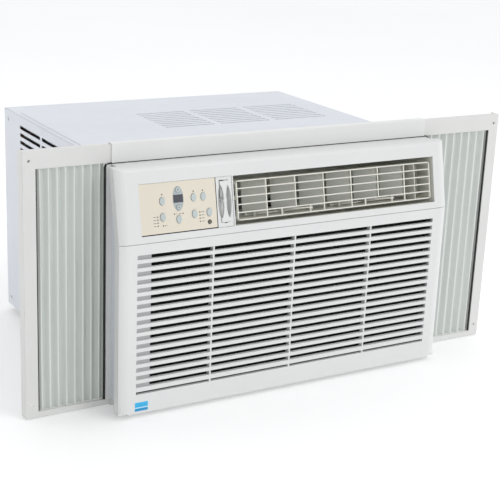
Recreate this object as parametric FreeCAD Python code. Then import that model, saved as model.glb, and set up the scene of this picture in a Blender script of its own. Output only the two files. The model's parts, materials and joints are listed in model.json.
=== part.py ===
import FreeCAD, Part
import math
import os

# Window air conditioner. X runs along the front, +Y goes outdoors, +Z is up.
# The origin is on the ground under the middle of the base pan. All sizes are in millimetres.

V = FreeCAD.Vector

# ---- general
SHEET = 1.2                 # sheet steel
WALL = 2.5                  # moulded plastic wall
GAP = 0.4                   # air between pieces that move past each other
FIT = 0.05                  # radial clearance of a pin in its hole
EPS = 1.0                   # overshoot of a cutting tool

# ---- cabinet
HALF_W = 300.0              # half of the cabinet's width
FRONT_Y = -282.0            # flat front of the intake panel
BACK_Y = 282.0              # rear of the cabinet
PAN_Z = 14.0                # underside of the base pan
TOP_Z = 401.0               # top of the cabinet
CASE_Y = -261.5             # front edge of the cabinet, inside the bezel
CASE_SINK = 14.0            # depth of the cabinet's edge behind the leaning face
BEND_R = 3.0                # outer bend of the top panel
TOP_FLANGE = 5.0            # how far the top panel turns down
STEP_H = 1.4                # height of the raised field on the top
STEP_X = 292.0
STEP_Y0 = -188.0
STEP_Y1 = 217.0
RIB_X = 180.0               # spacing of the pressed feet of the base pan
RIB_HALF = 20.0
RIB_Y0 = -150.0
RIB_Y1 = 230.0
PAN_LIP = 20.0              # upturned edge of the base pan
DRAIN_R = 7.0               # bore of the drain spigot
DRAIN_X = 262.0
DRAIN_Y = 262.0
DRAIN_LEN = 8.0
GLAND_R = 7.0               # neck of the cord gland
GLAND_BORE_R = 4.2
GLAND_X = 262.0
GLAND_Y = -236.0
SCREW_HEAD_R = 3.6
SCREW_HEAD_H = 1.8
SCREW_ROUND = 0.9
SCREW_Y = [-180.0, -90.0, 262.0]
SCREW_Z = [30.0, 382.0]
REAR_SCREW_Z = [30.0, 200.0, 382.0]
REAR_SCREW_INSET = 14.0

# ---- louvre slots of the cabinet
SIDE_ROWS = 24
SIDE_TOP_Z = 379.3
SIDE_PITCH = 13.83
SIDE_COLUMNS = [(-14.0, 86.0), (93.5, 198.0)]
SIDE_SLOT_H = 7.0
TOP_ROWS = 9
TOP_FIRST_Y = 10.0
TOP_PITCH = 15.4
TOP_COLUMNS = [(-97.5, 1.0), (13.5, 116.5), (128.5, 240.0)]
TOP_SLOT_W = 4.6
BLADE_T = 1.0               # thickness of the pressed-in louvre lip
BLADE_DROP = 6.0            # how far the lip reaches inwards

# ---- rear grille
REAR_COLUMNS = 4
REAR_ROWS = 22
REAR_MARGIN = 22.0
REAR_RIB = 12.0
REAR_BAR = 6.0

# ---- window rails and curtains
RAIL_Y = -218.0             # room-side face of the rails
RAIL_DEPTH = 14.0
RAIL_Z0 = 405.3
RAIL_Z1 = 435.3
RAIL_FOOT = 14.0
LOW_RAIL_TOP = 12.8
LEFT_OUTER = -443.0         # outer faces of the two curtain frames
RIGHT_OUTER = 471.0
BAR_W = 21.0
FRAME_DEPTH = 10.8
FRAME_Z0 = 1.6
FRAME_LOW_Z = 11.4
FRAME_HIGH_Z = 405.4
FRAME_Z1 = 433.6
BAR_INNER_END = 120.0       # where the sliding bars end inside the rails
FRAME_WALL = 1.4
FRAME_FLANGE = 20.0         # depth of the flange along the outer edge of a curtain frame
JAMB_HOLE_R = 2.2
JAMB_HOLE_Z = [24.0, 418.0]
BELLOWS_INNER = 311.5
BELLOWS_T = 0.8
BELLOWS_PLEATS = 8
BELLOWS_AMP = 7.0
BELLOWS_Z0 = 12.0
BELLOWS_Z1 = 404.8
CLIP_W = 8.5
CLIP_DEPTH = 9.0

# ---- bezel and intake panel
BEZEL_HALF = 313.0
BEZEL_DEPTH = 20.0
BEVEL_X = 15.0
BEVEL_Y = 5.0
BEZEL_TOP = 404.0
BEZEL_LOW = 6.0             # lower edge of the bezel and of the intake panel
SEAM_Z = 290.5
SLOPE = 12.0                # degrees that the upper face leans back
CROWN_R = 7.0               # rounding of the bezel's top front edge
FACE_T = 3.0
PANEL_T = 6.0
PANEL_GAP = 0.8
HINGE_Y = -277.5
HINGE_Z = 10.5
HINGE_LIP_R = 4.5
HINGE_PIN_R = 1.5
HINGE_X = [-220.0, 0.0, 220.0]
HINGE_EAR_HALF = 5.0
HINGE_EAR_DROP = 3.0
HINGE_PIN_REACH = 7.0
SLOT_ROWS = 18
SLOT_FIRST_Z = 43.0
SLOT_PITCH = 13.28
SLOT_H = 7.2
SLOT_LOW_H = 4.6            # the lowest slot is narrower
SLOT_HALF = 284.0
BLIND_END = 25.0            # shallow closed length at the left end of the taller slots
BLIND_DEPTH = 3.5
GRILLE_RIBS = [-151.5, 0.0, 151.5]
GRILLE_RIB_W = 2.6
FIN_DEPTH = 9.0             # depth of the slanted bars behind the slots
FIN_ROOT_HALF = 1.4         # half thickness of a slanted bar where it leaves the panel
FIN_TIP_HIGH = -3.4         # its rear edge hangs lower than its root
FIN_TIP_LOW = -5.6
LABEL_T = 0.2
LABEL_X0 = -285.5
LABEL_W = 22.6
LABEL_Z0 = 12.3
LABEL_H = 15.0
FILTER_CELLS = 6
FILTER_ROWS = 3
FILTER_SKIN = 0.7           # part of the filter's depth that its pockets take

# ---- sloped face: local X, depth into the machine, and height S up the slope
WINDOW_S0 = 11.0
WINDOW_S1 = 90.6
PANEL_X0 = -275.8
PANEL_X1 = -143.6
PLATE_T = 2.4
PLATE_SINK = 1.0
PLATE_INSET = 0.5           # the overlay plate stops short of the lower edge of its window
PULL_X0 = -142.8
PULL_X1 = -114.4
DUCT_X0 = -112.0
DUCT_X1 = 286.5
DUCT_WALL = 2.0
THROAT_D = 56.0

# ---- keys and lamps on the control panel: (X, S)
KEYS = [(-237.6, 62.0), (-183.4, 63.2), (-166.3, 63.0), (-238.1, 37.2), (-210.6, 31.4), (-183.2, 37.2),
        (-157.2, 37.4)]
ARROWS = [(-210.1, 77.6), (-210.1, 49.8)]
KEY_HALF_W = 4.6
KEY_HALF_H = 6.2
ARROW_R = 3.9
KEY_PROUD = 1.6
KEY_TRAVEL = 1.0
KEY_FLANGE = 1.0
KEY_FLANGE_GAP = 0.3        # between the flange and the back of the panel at rest
DISH_X = -210.1
DISH_S = 63.7
DISH_HALF_W = 9.2
DISH_HALF_H = 19.4
DISH_PROUD = 0.3
DISPLAY_HALF_W = 8.4
DISPLAY_HALF_H = 6.2
LAMPS = [(-237.5, 72.5), (-183.2, 72.7), (-166.8, 72.7), (-247.2, 38.3), (-247.2, 33.7), (-247.2, 29.0),
         (-247.2, 24.3), (-238.1, 23.9), (-218.0, 40.1), (-203.4, 40.1), (-174.1, 39.1), (-174.1, 34.2),
         (-174.1, 29.3), (-174.1, 24.5)]
LAMP_R = 1.1
LAMP_PROUD = 0.2
LENS_X = -157.6
LENS_S = 22.0
LENS_R = 3.9
LENS_DOME_R = 3.5
BOARD_D = 9.0               # front of the circuit board, behind the face
BOARD_T = 1.6
SWITCH_HALF = 2.0
SWITCH_T = 1.2
CHIP_X = -254.0
CHIP_S = 51.0
CHIP_HALF_W = 8.0
CHIP_HALF_H = 11.0
CHIP_T = 3.4
BUFFER_X = -228.0           # upright round capacitor on the board
BUFFER_S = 50.0
BUFFER_R = 6.0
BUFFER_H = 16.4
RELAY_X = -188.0
RELAY_S = 52.0
RELAY_HALF = 12.0
RELAY_H = 18.4
BOX_D = 46.0

# ---- vent pull
SCOOP_HALF_W = 12.0
SCOOP_HALF_H = 34.0
SCOOP_DEPTH = 11.0
PULL_HALF_W = 7.7
PULL_BAR_S0 = 19.0
PULL_BAR_S1 = 84.0
PULL_D0 = -0.6              # front and rear of the pull's tab
PULL_D1 = 2.2
PULL_RIB_HALF = 1.8         # rib left between the two finger holes
PULL_HOLE_X = 8.2
PULL_HOLE_HALF_W = 6.4
PULL_HOLE_HALF_H = 27.0
PULL_WEB_INSET = 7.5
POCKET_X0 = -8.6            # pocket of the tab, from the middle of the pull
POCKET_X1 = 8.1
POCKET_S0 = 18.3
POCKET_S1 = 86.2
POCKET_SKIN = 0.8
ROD_Z = 341.0
ROD_HALF = 3.0
ROD_END_GAP = 8.0           # from the rod's end to the vent door
PARTITION_Y = -34.0
DOOR_Y = -38.0
DOOR_TOP = 368.0
DOOR_LOW = 318.0
DOOR_X0 = -152.0
DOOR_X1 = -117.0
DOOR_T = 1.6
DOOR_BARREL_R = 2.4
DOOR_PIN_R = 1.5
DOOR_LUG = 4.0              # width of a hinge lug
DOOR_LUG_SPAN = 6.0         # from the door's side to the outer end of its pin
DOOR_LUG_HALF_H = 3.0
DOOR_LAP = 5.0              # overlap of the door round its hole
HORN_HALF_W = 1.5
HORN_LEN = 4.0
HORN_HALF_H = 5.0

# ---- tilting louvre frame and swing vanes
LOUVRE_X0 = -105.5
LOUVRE_X1 = 280.5
LOUVRE_S0 = 18.0
LOUVRE_S1 = 82.0
LOUVRE_D0 = 3.0
LOUVRE_D1 = 43.0
LOUVRE_WALL = 1.8
GRID_T = 3.0
GRID_ROWS = 5
GRID_COLS = 7
LEVER_BARS = [2, 5]         # vertical bars that are forked round a finger lever
BAR_SINK = 0.3              # upright bars sit a little behind the level ones
FRAME_CORNER_R = 5.0
CHEEK_D0 = 8.0              # openings in the frame's two cheeks
CHEEK_D1 = 40.0
CHEEK_S0 = 24.0
CHEEK_S1 = 76.0
CHEEK_STRUT = 3.2           # half height of the strut that carries the tilt pin
DIVIDER_X = 249.6           # upright plate behind the last column
DIVIDER_T = 1.4
TILT_D = 23.0
TILT_S = 54.4
TILT_PIN_R = 2.0
VANE_SHIFT = 44.3           # from a column's left bar to its vane's axis
VANE_D = 28.0
VANE_CHORD = 40.0
VANE_T = 1.6
VANE_S0 = 26.2
VANE_S1 = 79.4
VANE_PIN_R = 1.5
VANE_STUB = 3.0             # how far the pins reach into the blade
VANE_ROUND = 0.72
VANE_COLLAR_R = 2.55
VANE_ANGLE = 40.0           # between the resting vane and the face
LINK_ARM = 14.0
LINK_PIN_R = 1.2
LINK_HALF_W = 2.2
LINK_EYE_R = 2.8
LINK_S0 = 22.0
LINK_S1 = 23.8
LEVER_LEN = 49.0
LEVER_W = 6.0
LEVER_T = 1.8
LEVER_DROP = 0.2
LEVER_ROUND = 2.4
DUCT_LAP = 8.0              # overlap of the throat and the duct behind it

# ---- fans, motor and air path
FAN_X = 60.0
FAN_Z = 172.0
SHAFT_R = 6.0
SHAFT_LEAD = 40.0           # how far the shaft reaches into the blower wheel
SHAFT_TAIL = 2.0
WHEEL_R = 92.0
WHEEL_Y0 = -148.0
WHEEL_Y1 = -62.0
WHEEL_BLADES = 32
WHEEL_RIM = 12.0            # radial width of the wheel's front ring and of the scroll's inlet lip
WHEEL_HUB_LEN = 30.0
WHEEL_BLADE_IN = 13.0
WHEEL_BLADE_OUT = 1.0
WHEEL_BLADE_HALF_T = 0.8
WHEEL_BLADE_TURN = 35.0
SCROLL_X0 = -98.0
SCROLL_X1 = 226.0
SCROLL_Z0 = 30.0
SCROLL_Z1 = 286.0
SCROLL_Y0 = -160.0
SCROLL_Y1 = -46.0
SCROLL_CORNER_R = 90.0
MOTOR_R = 62.0
MOTOR_Y0 = -14.0
MOTOR_Y1 = 92.0
MOTOR_ROUND = 10.0
MOTOR_BOSS_R = 22.0
MOTOR_BOSS_LEN = 8.0
MOTOR_SHELL = 20.0          # radial thickness of the can with its windings
MOTOR_END = 14.0
BRACKET_HALF = 50.0
BRACKET_Y0 = 10.0
BRACKET_Y1 = 70.0
BRACKET_WALL = 3.0
BRACKET_RISE = 12.0         # how far the saddle climbs round the motor
BRACKET_SEAT = 14.0
BRACKET_ARM = 12.0          # length of each of its two arches along the motor
FAN_R = 140.0
FAN_Y0 = 150.0
FAN_Y1 = 186.0
FAN_BLADES = 5
FAN_HUB_R = 34.0
FAN_HUB_SHORT = 6.0
FAN_ROOT_X = 28.0
FAN_ROOT_HALF = 14.0
FAN_ROOT_T = 2.0
FAN_TIP_X = 136.0
FAN_TIP_HALF_Y = 9.0
FAN_TIP_HALF_Z = 38.0
FAN_TIP_T = 1.6
FAN_RING_W = 6.0            # slinger ring round the blade tips
FAN_RING_LEN = 12.0
SHROUD_Y0 = 160.0
SHROUD_Y1 = 212.0
EVAP_Y0 = -236.0
EVAP_Y1 = -194.0
EVAP_HALF = 278.0
EVAP_Z0 = 24.0
EVAP_Z1 = 276.0
COND_Y0 = 222.0
COND_Y1 = 266.0
COND_HALF = 284.0
COND_Z0 = 24.0
COND_Z1 = 388.0
FIN_PITCH = 6.0
FIN_T = 0.5
TUBE_R = 4.8
TUBE_ROWS = 8
TUBE_PLACES = [0.28, 0.72]  # the two tube layers, as parts of the coil's depth
PLATE_EDGE = 6.0            # from the coil's end to its first fin
COMP_X = -205.0
COMP_Y = 62.0
COMP_R = 68.0
COMP_Z0 = 34.0
COMP_Z1 = 262.0
COMP_WALL = 8.0
COMP_ROUND = 30.6
COMP_CORE_ROUND = 24.5
COMP_STUB_LEN = 10.0
COMP_TAB_HALF = 14.0
COMP_TAB_REACH = 16.0
COMP_BOLT_REACH = 6.0       # from the shell to the middle of a rubber foot
COMP_BOLT_R = 5.0
COMP_TAB_T = 1.2
FOOT_R = 11.0
FOOT_NECK_R = 4.9
FOOT_NECK_LEN = 3.6

# ---- refrigerant pipes and electrical parts
PIPE_R = 4.8
PIPE_X = -280.0
PIPE_Z = [71.25, 228.75]
PIPE_HOLE_R = 9.0
PIPE_REACH = 6.8
DISCHARGE_X = -289.4
DISCHARGE_Y = 202.0
DISCHARGE_Z = 365.25
DISCHARGE_RISE = 330.0
SUCTION_DX = -40.0          # the suction pipe leaves the shell beside its middle
SUCTION_DY = 30.0
SUCTION_RISE = 300.0
LIQUID_Y = 150.0
LIQUID_Z = 120.0
LIQUID_PIPE_R = 3.36
DRIER_R = 10.0
DRIER_Z0 = 122.0
DRIER_Z1 = 190.0
DRIER_ROUND = 6.0
CAP_X = -250.0              # run capacitor
CAP_Y = -90.0
CAP_R = 22.0
CAP_TOP = 110.0
CAP_LID_R = 20.0
CAP_LID_H = 4.0
CAP_TAG_X = 8.0
CAP_TAG_HALF = 4.0
CAP_TAG_T = 1.0
CAP_TAG_H = 8.0

PARTS = {}


# ---------------------------------------------------------------- helpers
def box(x0, x1, y0, y1, z0, z1):
    return Part.makeBox(x1 - x0, y1 - y0, z1 - z0, V(x0, y0, z0))


def rod_x(r, x0, x1, y, z):
    return Part.makeCylinder(r, x1 - x0, V(x0, y, z), V(1, 0, 0))


def rod_y(r, x, y0, y1, z):
    return Part.makeCylinder(r, y1 - y0, V(x, y0, z), V(0, 1, 0))


def rod_z(r, x, y, z0, z1):
    return Part.makeCylinder(r, z1 - z0, V(x, y, z0), V(0, 0, 1))


def prism(points, direction):
    corners = [V(*p) for p in points]
    return Part.Face(Part.makePolygon(corners + [corners[0]])).extrude(V(*direction))


def on_slope(shape):
    """Local X, depth Y and slope height Z become the leaning upper face of the bezel."""
    placed = shape.copy()
    turn = FreeCAD.Rotation(V(1, 0, 0), -SLOPE)
    placed.Placement = FreeCAD.Placement(V(0, FRONT_Y, SEAM_Z), turn).multiply(placed.Placement)
    return placed


def oval_y(x, z, half_w, half_h, y0, y1):
    """Ellipse in the X-Z plane, drawn through the panel along Y."""
    if half_h >= half_w:
        ellipse = Part.Ellipse(V(0, 0, 0), half_h, half_w)
        turn = FreeCAD.Rotation(V(0, 0, 1), 90)
    else:
        ellipse = Part.Ellipse(V(0, 0, 0), half_w, half_h)
        turn = FreeCAD.Rotation(V(0, 0, 1), 0)
    face = Part.Face(Part.Wire(ellipse.toShape()))
    solid = face.extrude(V(0, 0, y1 - y0))
    upright = FreeCAD.Rotation(V(1, 0, 0), -90).multiply(turn)
    solid.Placement = FreeCAD.Placement(V(x, y0, z), upright)
    return solid


def slot_tool(a0, a1, half_h, thick):
    """Round-ended slot along local X, cut through local Z."""
    straight = box(a0 + half_h, a1 - half_h, -half_h, half_h, -thick, thick)
    left = rod_z(half_h, a0 + half_h, 0, -thick, thick)
    right = rod_z(half_h, a1 - half_h, 0, -thick, thick)
    return straight.fuse([left, right]).removeSplitter()


def save(name, shape):
    PARTS[name] = shape
    shape.exportStep("parts/" + name + ".step")


def solids(shapes):
    return Part.makeCompound(shapes)


# ---------------------------------------------------------------- cabinet
def base_pan():
    half = HALF_W - SHEET - GAP
    front = CASE_Y + GAP
    back = BACK_Y - SHEET - GAP
    tray = box(-half, half, front, back, PAN_Z, PAN_Z + PAN_LIP)
    inner = box(-half + SHEET, half - SHEET, front + SHEET, back - SHEET, PAN_Z + SHEET, PAN_Z + PAN_LIP + EPS)
    feet = []
    hollows = []
    for x in (-RIB_X, 0.0, RIB_X):
        feet.append(box(x - RIB_HALF, x + RIB_HALF, RIB_Y0, RIB_Y1, 0, PAN_Z + SHEET))
        hollows.append(box(x - RIB_HALF + SHEET, x + RIB_HALF - SHEET, RIB_Y0 + SHEET, RIB_Y1 - SHEET,
                           SHEET, PAN_Z + SHEET + EPS))
    pan = tray.cut(inner).fuse(feet)
    pan = pan.cut(solids(hollows))
    spigot = rod_z(DRAIN_R + SHEET, DRAIN_X, DRAIN_Y, PAN_Z - DRAIN_LEN, PAN_Z + SHEET)
    pan = pan.fuse(spigot)
    pan = pan.cut(rod_z(DRAIN_R, DRAIN_X, DRAIN_Y, PAN_Z - DRAIN_LEN - EPS, PAN_Z + SHEET + EPS))
    return pan.cut(rod_z(GLAND_R, GLAND_X, GLAND_Y, PAN_Z - EPS, PAN_Z + SHEET + EPS)).removeSplitter()


def cord_gland():
    collar_r = GLAND_R + 2 * SHEET
    ring = rod_z(collar_r, GLAND_X, GLAND_Y, PAN_Z - SHEET, PAN_Z)
    neck = rod_z(GLAND_R, GLAND_X, GLAND_Y, PAN_Z, PAN_Z + 6 * SHEET)
    bore = rod_z(GLAND_BORE_R, GLAND_X, GLAND_Y, PAN_Z - SHEET - EPS, PAN_Z + 6 * SHEET + EPS)
    return ring.fuse(neck).cut(bore).removeSplitter()


def side_slots():
    """Slots and inward-pressed lips of the side panel at -X."""
    cuts = []
    lips = []
    for row in range(SIDE_ROWS):
        z = SIDE_TOP_Z - row * SIDE_PITCH
        for y0, y1 in SIDE_COLUMNS:
            tool = slot_tool(y0, y1, SIDE_SLOT_H / 2, 2 * SHEET)
            turn = FreeCAD.Rotation(V(1, 1, 1), 120)
            tool.Placement = FreeCAD.Placement(V(-HALF_W, 0, z), turn)
            cuts.append(tool)
            top = z + SIDE_SLOT_H / 2
            lip = prism([(-HALF_W + SHEET, y0 + SIDE_SLOT_H, top),
                         (-HALF_W + SHEET, y0 + SIDE_SLOT_H, top + BLADE_T),
                         (-HALF_W + SHEET + BLADE_DROP, y0 + SIDE_SLOT_H, top + BLADE_T - BLADE_DROP),
                         (-HALF_W + SHEET + BLADE_DROP, y0 + SIDE_SLOT_H, top - BLADE_DROP)],
                        (0, y1 - y0 - 2 * SIDE_SLOT_H, 0))
            lips.append(lip)
    return cuts, lips


def face_relief():
    """Room that the cabinet leaves behind the leaning face of the bezel."""
    return on_slope(box(-BEZEL_HALF, BEZEL_HALF, -THROAT_D, CASE_SINK, -EPS, 3 * THROAT_D))


def side_panel():
    plate = box(-HALF_W, -HALF_W + SHEET, CASE_Y, BACK_Y, PAN_Z, TOP_Z - TOP_FLANGE)
    rear_flange = box(-HALF_W, -HALF_W + 2 * RAIL_FOOT, BACK_Y - SHEET, BACK_Y, PAN_Z, TOP_Z - TOP_FLANGE)
    plate = plate.fuse(rear_flange)
    cuts, lips = side_slots()
    cuts.append(face_relief())
    return plate.cut(cuts).fuse(lips).removeSplitter()


def mirrored(shape):
    return shape.mirror(V(0, 0, 0), V(1, 0, 0))


def top_panel():
    skin = box(-HALF_W, HALF_W, CASE_Y, BACK_Y, TOP_Z - TOP_FLANGE, TOP_Z)
    bends = [e for e in skin.Edges if e.BoundBox.ZMin > TOP_Z - EPS and e.BoundBox.YMax > CASE_Y + EPS]
    skin = skin.makeFillet(BEND_R, bends)
    skin = skin.cut(box(-HALF_W + SHEET, HALF_W - SHEET, CASE_Y - EPS, BACK_Y - SHEET,
                        TOP_Z - TOP_FLANGE - EPS, TOP_Z - 2 * SHEET))
    field = box(-STEP_X, STEP_X, STEP_Y0, STEP_Y1, TOP_Z - SHEET, TOP_Z + STEP_H)
    rims = [e for e in field.Edges if e.BoundBox.ZMin > TOP_Z]
    field = field.makeChamfer(STEP_H - GAP / 2, rims)
    skin = skin.fuse(field)
    skin = skin.cut(box(-STEP_X + 2 * SHEET, STEP_X - 2 * SHEET, STEP_Y0 + 2 * SHEET, STEP_Y1 - 2 * SHEET,
                        TOP_Z - 2 * SHEET - EPS, TOP_Z))
    cuts = []
    lips = []
    for row in range(TOP_ROWS):
        y = TOP_FIRST_Y + row * TOP_PITCH
        for x0, x1 in TOP_COLUMNS:
            tool = slot_tool(x0, x1, TOP_SLOT_W / 2, 3 * SHEET)
            tool.translate(V(0, y, TOP_Z))
            cuts.append(tool)
            edge = y + TOP_SLOT_W / 2
            lips.append(prism([(x0 + TOP_SLOT_W, edge, TOP_Z), (x0 + TOP_SLOT_W, edge + BLADE_T, TOP_Z),
                               (x0 + TOP_SLOT_W, edge + BLADE_T - BLADE_DROP, TOP_Z - BLADE_DROP / 2),
                               (x0 + TOP_SLOT_W, edge - BLADE_DROP, TOP_Z - BLADE_DROP / 2)],
                              (x1 - x0 - 2 * TOP_SLOT_W, 0, 0)))
    cuts.append(face_relief())
    return skin.cut(cuts).fuse(lips).removeSplitter()


def rear_grille():
    x_half = HALF_W - 3 * SHEET
    z0 = PAN_Z + SHEET
    z1 = TOP_Z - TOP_FLANGE - GAP
    y0 = BACK_Y - 4 * SHEET
    plate = box(-x_half, x_half, y0, y0 + SHEET, z0, z1)
    pitch_x = (2 * x_half - 2 * REAR_MARGIN + REAR_RIB) / REAR_COLUMNS
    pitch_z = (z1 - z0 - 2 * REAR_MARGIN + REAR_BAR) / REAR_ROWS
    cuts = []
    for col in range(REAR_COLUMNS):
        x0 = -x_half + REAR_MARGIN + col * pitch_x
        for row in range(REAR_ROWS):
            z = z0 + REAR_MARGIN + row * pitch_z + (pitch_z - REAR_BAR) / 2
            tool = slot_tool(x0, x0 + pitch_x - REAR_RIB, (pitch_z - REAR_BAR) / 2, 2 * SHEET)
            tool.Placement = FreeCAD.Placement(V(0, y0, z), FreeCAD.Rotation(V(1, 0, 0), 90))
            cuts.append(tool)
    return plate.cut(solids(cuts))


# ---------------------------------------------------------------- rails and curtains
def top_rail():
    y1 = RAIL_Y + RAIL_DEPTH
    outer = box(-HALF_W, HALF_W, RAIL_Y, y1, RAIL_Z0, RAIL_Z1)
    bends = [e for e in outer.Edges if e.BoundBox.ZMin > RAIL_Z1 - EPS and e.BoundBox.XLength > HALF_W]
    outer = outer.makeFillet(SHEET, bends)
    channel = box(-HALF_W - EPS, HALF_W + EPS, RAIL_Y + SHEET, y1 - SHEET, RAIL_Z0 - EPS, RAIL_Z1 - SHEET)
    back = box(-HALF_W, HALF_W, y1 - SHEET, y1, TOP_Z, RAIL_Z0)
    foot = box(-HALF_W, HALF_W, y1 - SHEET, y1 + RAIL_FOOT, TOP_Z, TOP_Z + SHEET)
    return outer.cut(channel).fuse([back, foot]).removeSplitter()


def bottom_rail():
    y1 = RAIL_Y + RAIL_DEPTH
    web = box(-HALF_W, HALF_W, RAIL_Y, y1, 0, SHEET)
    front = box(-HALF_W, HALF_W, RAIL_Y, RAIL_Y + SHEET, 0, LOW_RAIL_TOP)
    back = box(-HALF_W, HALF_W, y1 - SHEET, y1, 0, PAN_Z)
    foot = box(-HALF_W + 2 * SHEET, HALF_W - 2 * SHEET, y1 - SHEET, y1 + RAIL_FOOT, PAN_Z - SHEET, PAN_Z)
    return web.fuse([front, back, foot]).removeSplitter()


def curtain_frame(outer_x):
    """Outer bar with a top and a bottom bar that slide inside the rails; outer_x is negative."""
    y0 = RAIL_Y + SHEET + GAP
    y1 = y0 + FRAME_DEPTH
    post = box(outer_x, outer_x + BAR_W, y0, y1, FRAME_Z0, FRAME_Z1)
    edges = [e for e in post.Edges if e.BoundBox.XMax < outer_x + EPS and e.BoundBox.ZLength > BAR_W]
    post = post.makeFillet(SHEET, edges)
    post = post.cut(box(outer_x + FRAME_WALL, outer_x + BAR_W - FRAME_WALL, y0 + FRAME_WALL, y1 + EPS,
                        FRAME_LOW_Z, FRAME_HIGH_Z))
    top = box(outer_x + BAR_W - EPS, -BAR_INNER_END, y0, y1, FRAME_HIGH_Z + SHEET, FRAME_Z1)
    top = top.fuse(box(outer_x + BAR_W - EPS, -HALF_W - GAP, y0, y1, FRAME_HIGH_Z, FRAME_Z1))
    top = top.cut(box(outer_x + BAR_W, -BAR_INNER_END + EPS, y0 + FRAME_WALL, y1 + EPS,
                      FRAME_HIGH_Z + SHEET + FRAME_WALL, FRAME_Z1 - FRAME_WALL))
    low = box(outer_x + BAR_W - EPS, -BAR_INNER_END, y0, y1, FRAME_Z0, FRAME_LOW_Z)
    low = low.cut(box(outer_x + BAR_W, -BAR_INNER_END + EPS, y0 + FRAME_WALL, y1 + EPS,
                      FRAME_Z0 + FRAME_WALL, FRAME_LOW_Z - FRAME_WALL))
    flange = box(outer_x, outer_x + FRAME_WALL, y0 + FRAME_DEPTH - EPS, y0 + FRAME_FLANGE, FRAME_Z0, FRAME_Z1)
    frame = post.fuse([top, low, flange])
    holes = [rod_y(JAMB_HOLE_R, outer_x + BAR_W / 2, y0 - EPS, y1 + EPS, z) for z in JAMB_HOLE_Z]
    return frame.cut(holes).removeSplitter()


def bellows(outer_x):
    """Zigzag pleats between the outer bar and the clip strip."""
    y_mid = RAIL_Y + SHEET + GAP + FRAME_DEPTH / 2
    x0 = outer_x + BAR_W + GAP
    x1 = -BELLOWS_INNER
    count = 2 * BELLOWS_PLEATS
    front = []
    for i in range(count + 1):
        side = -1 if i % 2 else 1
        front.append((x0 + (x1 - x0) * i / count, y_mid + side * BELLOWS_AMP / 2, BELLOWS_Z0))
    rear = [(p[0], p[1] + 2 * BELLOWS_T, p[2]) for p in reversed(front)]
    return prism(front + rear, (0, 0, BELLOWS_Z1 - BELLOWS_Z0))


def clip_strip():
    """Strip on the cabinet's side that holds the inner end of the bellows."""
    y0 = RAIL_Y
    web = box(-HALF_W - CLIP_W, -HALF_W, y0, y0 + SHEET, BELLOWS_Z0, BELLOWS_Z1)
    leg = box(-HALF_W - SHEET, -HALF_W, y0, y0 + CLIP_DEPTH, BELLOWS_Z0, BELLOWS_Z1)
    hook = box(-HALF_W - CLIP_W, -HALF_W - CLIP_W + SHEET, y0, y0 + CLIP_DEPTH, BELLOWS_Z0, BELLOWS_Z1)
    return web.fuse([leg, hook]).removeSplitter()


# ---------------------------------------------------------------- bezel and intake panel
def face_profile(depth0, depth1, inset, z):
    """Cross-section of the front moulding with its rounded side bevels."""
    half = BEZEL_HALF - inset
    flat = half - BEVEL_X
    radius = (BEVEL_X ** 2 + BEVEL_Y ** 2) / (2 * BEVEL_Y)
    turn = math.asin(BEVEL_X / radius) / 2
    mid_x = flat + radius * math.sin(turn)
    mid_y = depth0 + radius * (1 - math.cos(turn))
    edge = depth0 + BEVEL_Y
    left = Part.Arc(V(-flat, depth0, z), V(-mid_x, mid_y, z), V(-half, edge, z)).toShape()
    side_l = Part.makeLine(V(-half, edge, z), V(-half, depth1, z))
    rear = Part.makeLine(V(-half, depth1, z), V(half, depth1, z))
    side_r = Part.makeLine(V(half, depth1, z), V(half, edge, z))
    right = Part.Arc(V(half, edge, z), V(mid_x, mid_y, z), V(flat, depth0, z)).toShape()
    front = Part.makeLine(V(flat, depth0, z), V(-flat, depth0, z))
    return Part.Face(Part.Wire([left, side_l, rear, side_r, right, front]))


def crown_limits():
    """Side outline of the upper bezel with its rounded top front edge, swept along X."""
    lean = math.radians(SLOPE)
    tangent = CROWN_R * math.tan(math.radians(90 - SLOPE) / 2)
    corner = V(0, FRONT_Y + (BEZEL_TOP - SEAM_Z) * math.tan(lean), BEZEL_TOP)
    start = corner.sub(V(0, tangent * math.sin(lean), tangent * math.cos(lean)))
    end = corner.add(V(0, tangent, 0))
    centre = end.sub(V(0, 0, CROWN_R))
    middle = centre.add(corner.sub(centre).normalize().multiply(CROWN_R))
    front = FRONT_Y - EPS
    path = [V(0, BACK_Y, BEZEL_TOP), V(0, BACK_Y, SEAM_Z), V(0, front, SEAM_Z), V(0, front, start.z), start]
    lines = [Part.makeLine(a, b) for a, b in zip([end] + path[:-1], path)]
    arc = Part.Arc(start, middle, end).toShape()
    side = Part.Face(Part.Wire(lines + [arc]))
    side.translate(V(-BEZEL_HALF - EPS, 0, 0))
    return side.extrude(V(2 * BEZEL_HALF + 2 * EPS, 0, 0))


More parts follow.
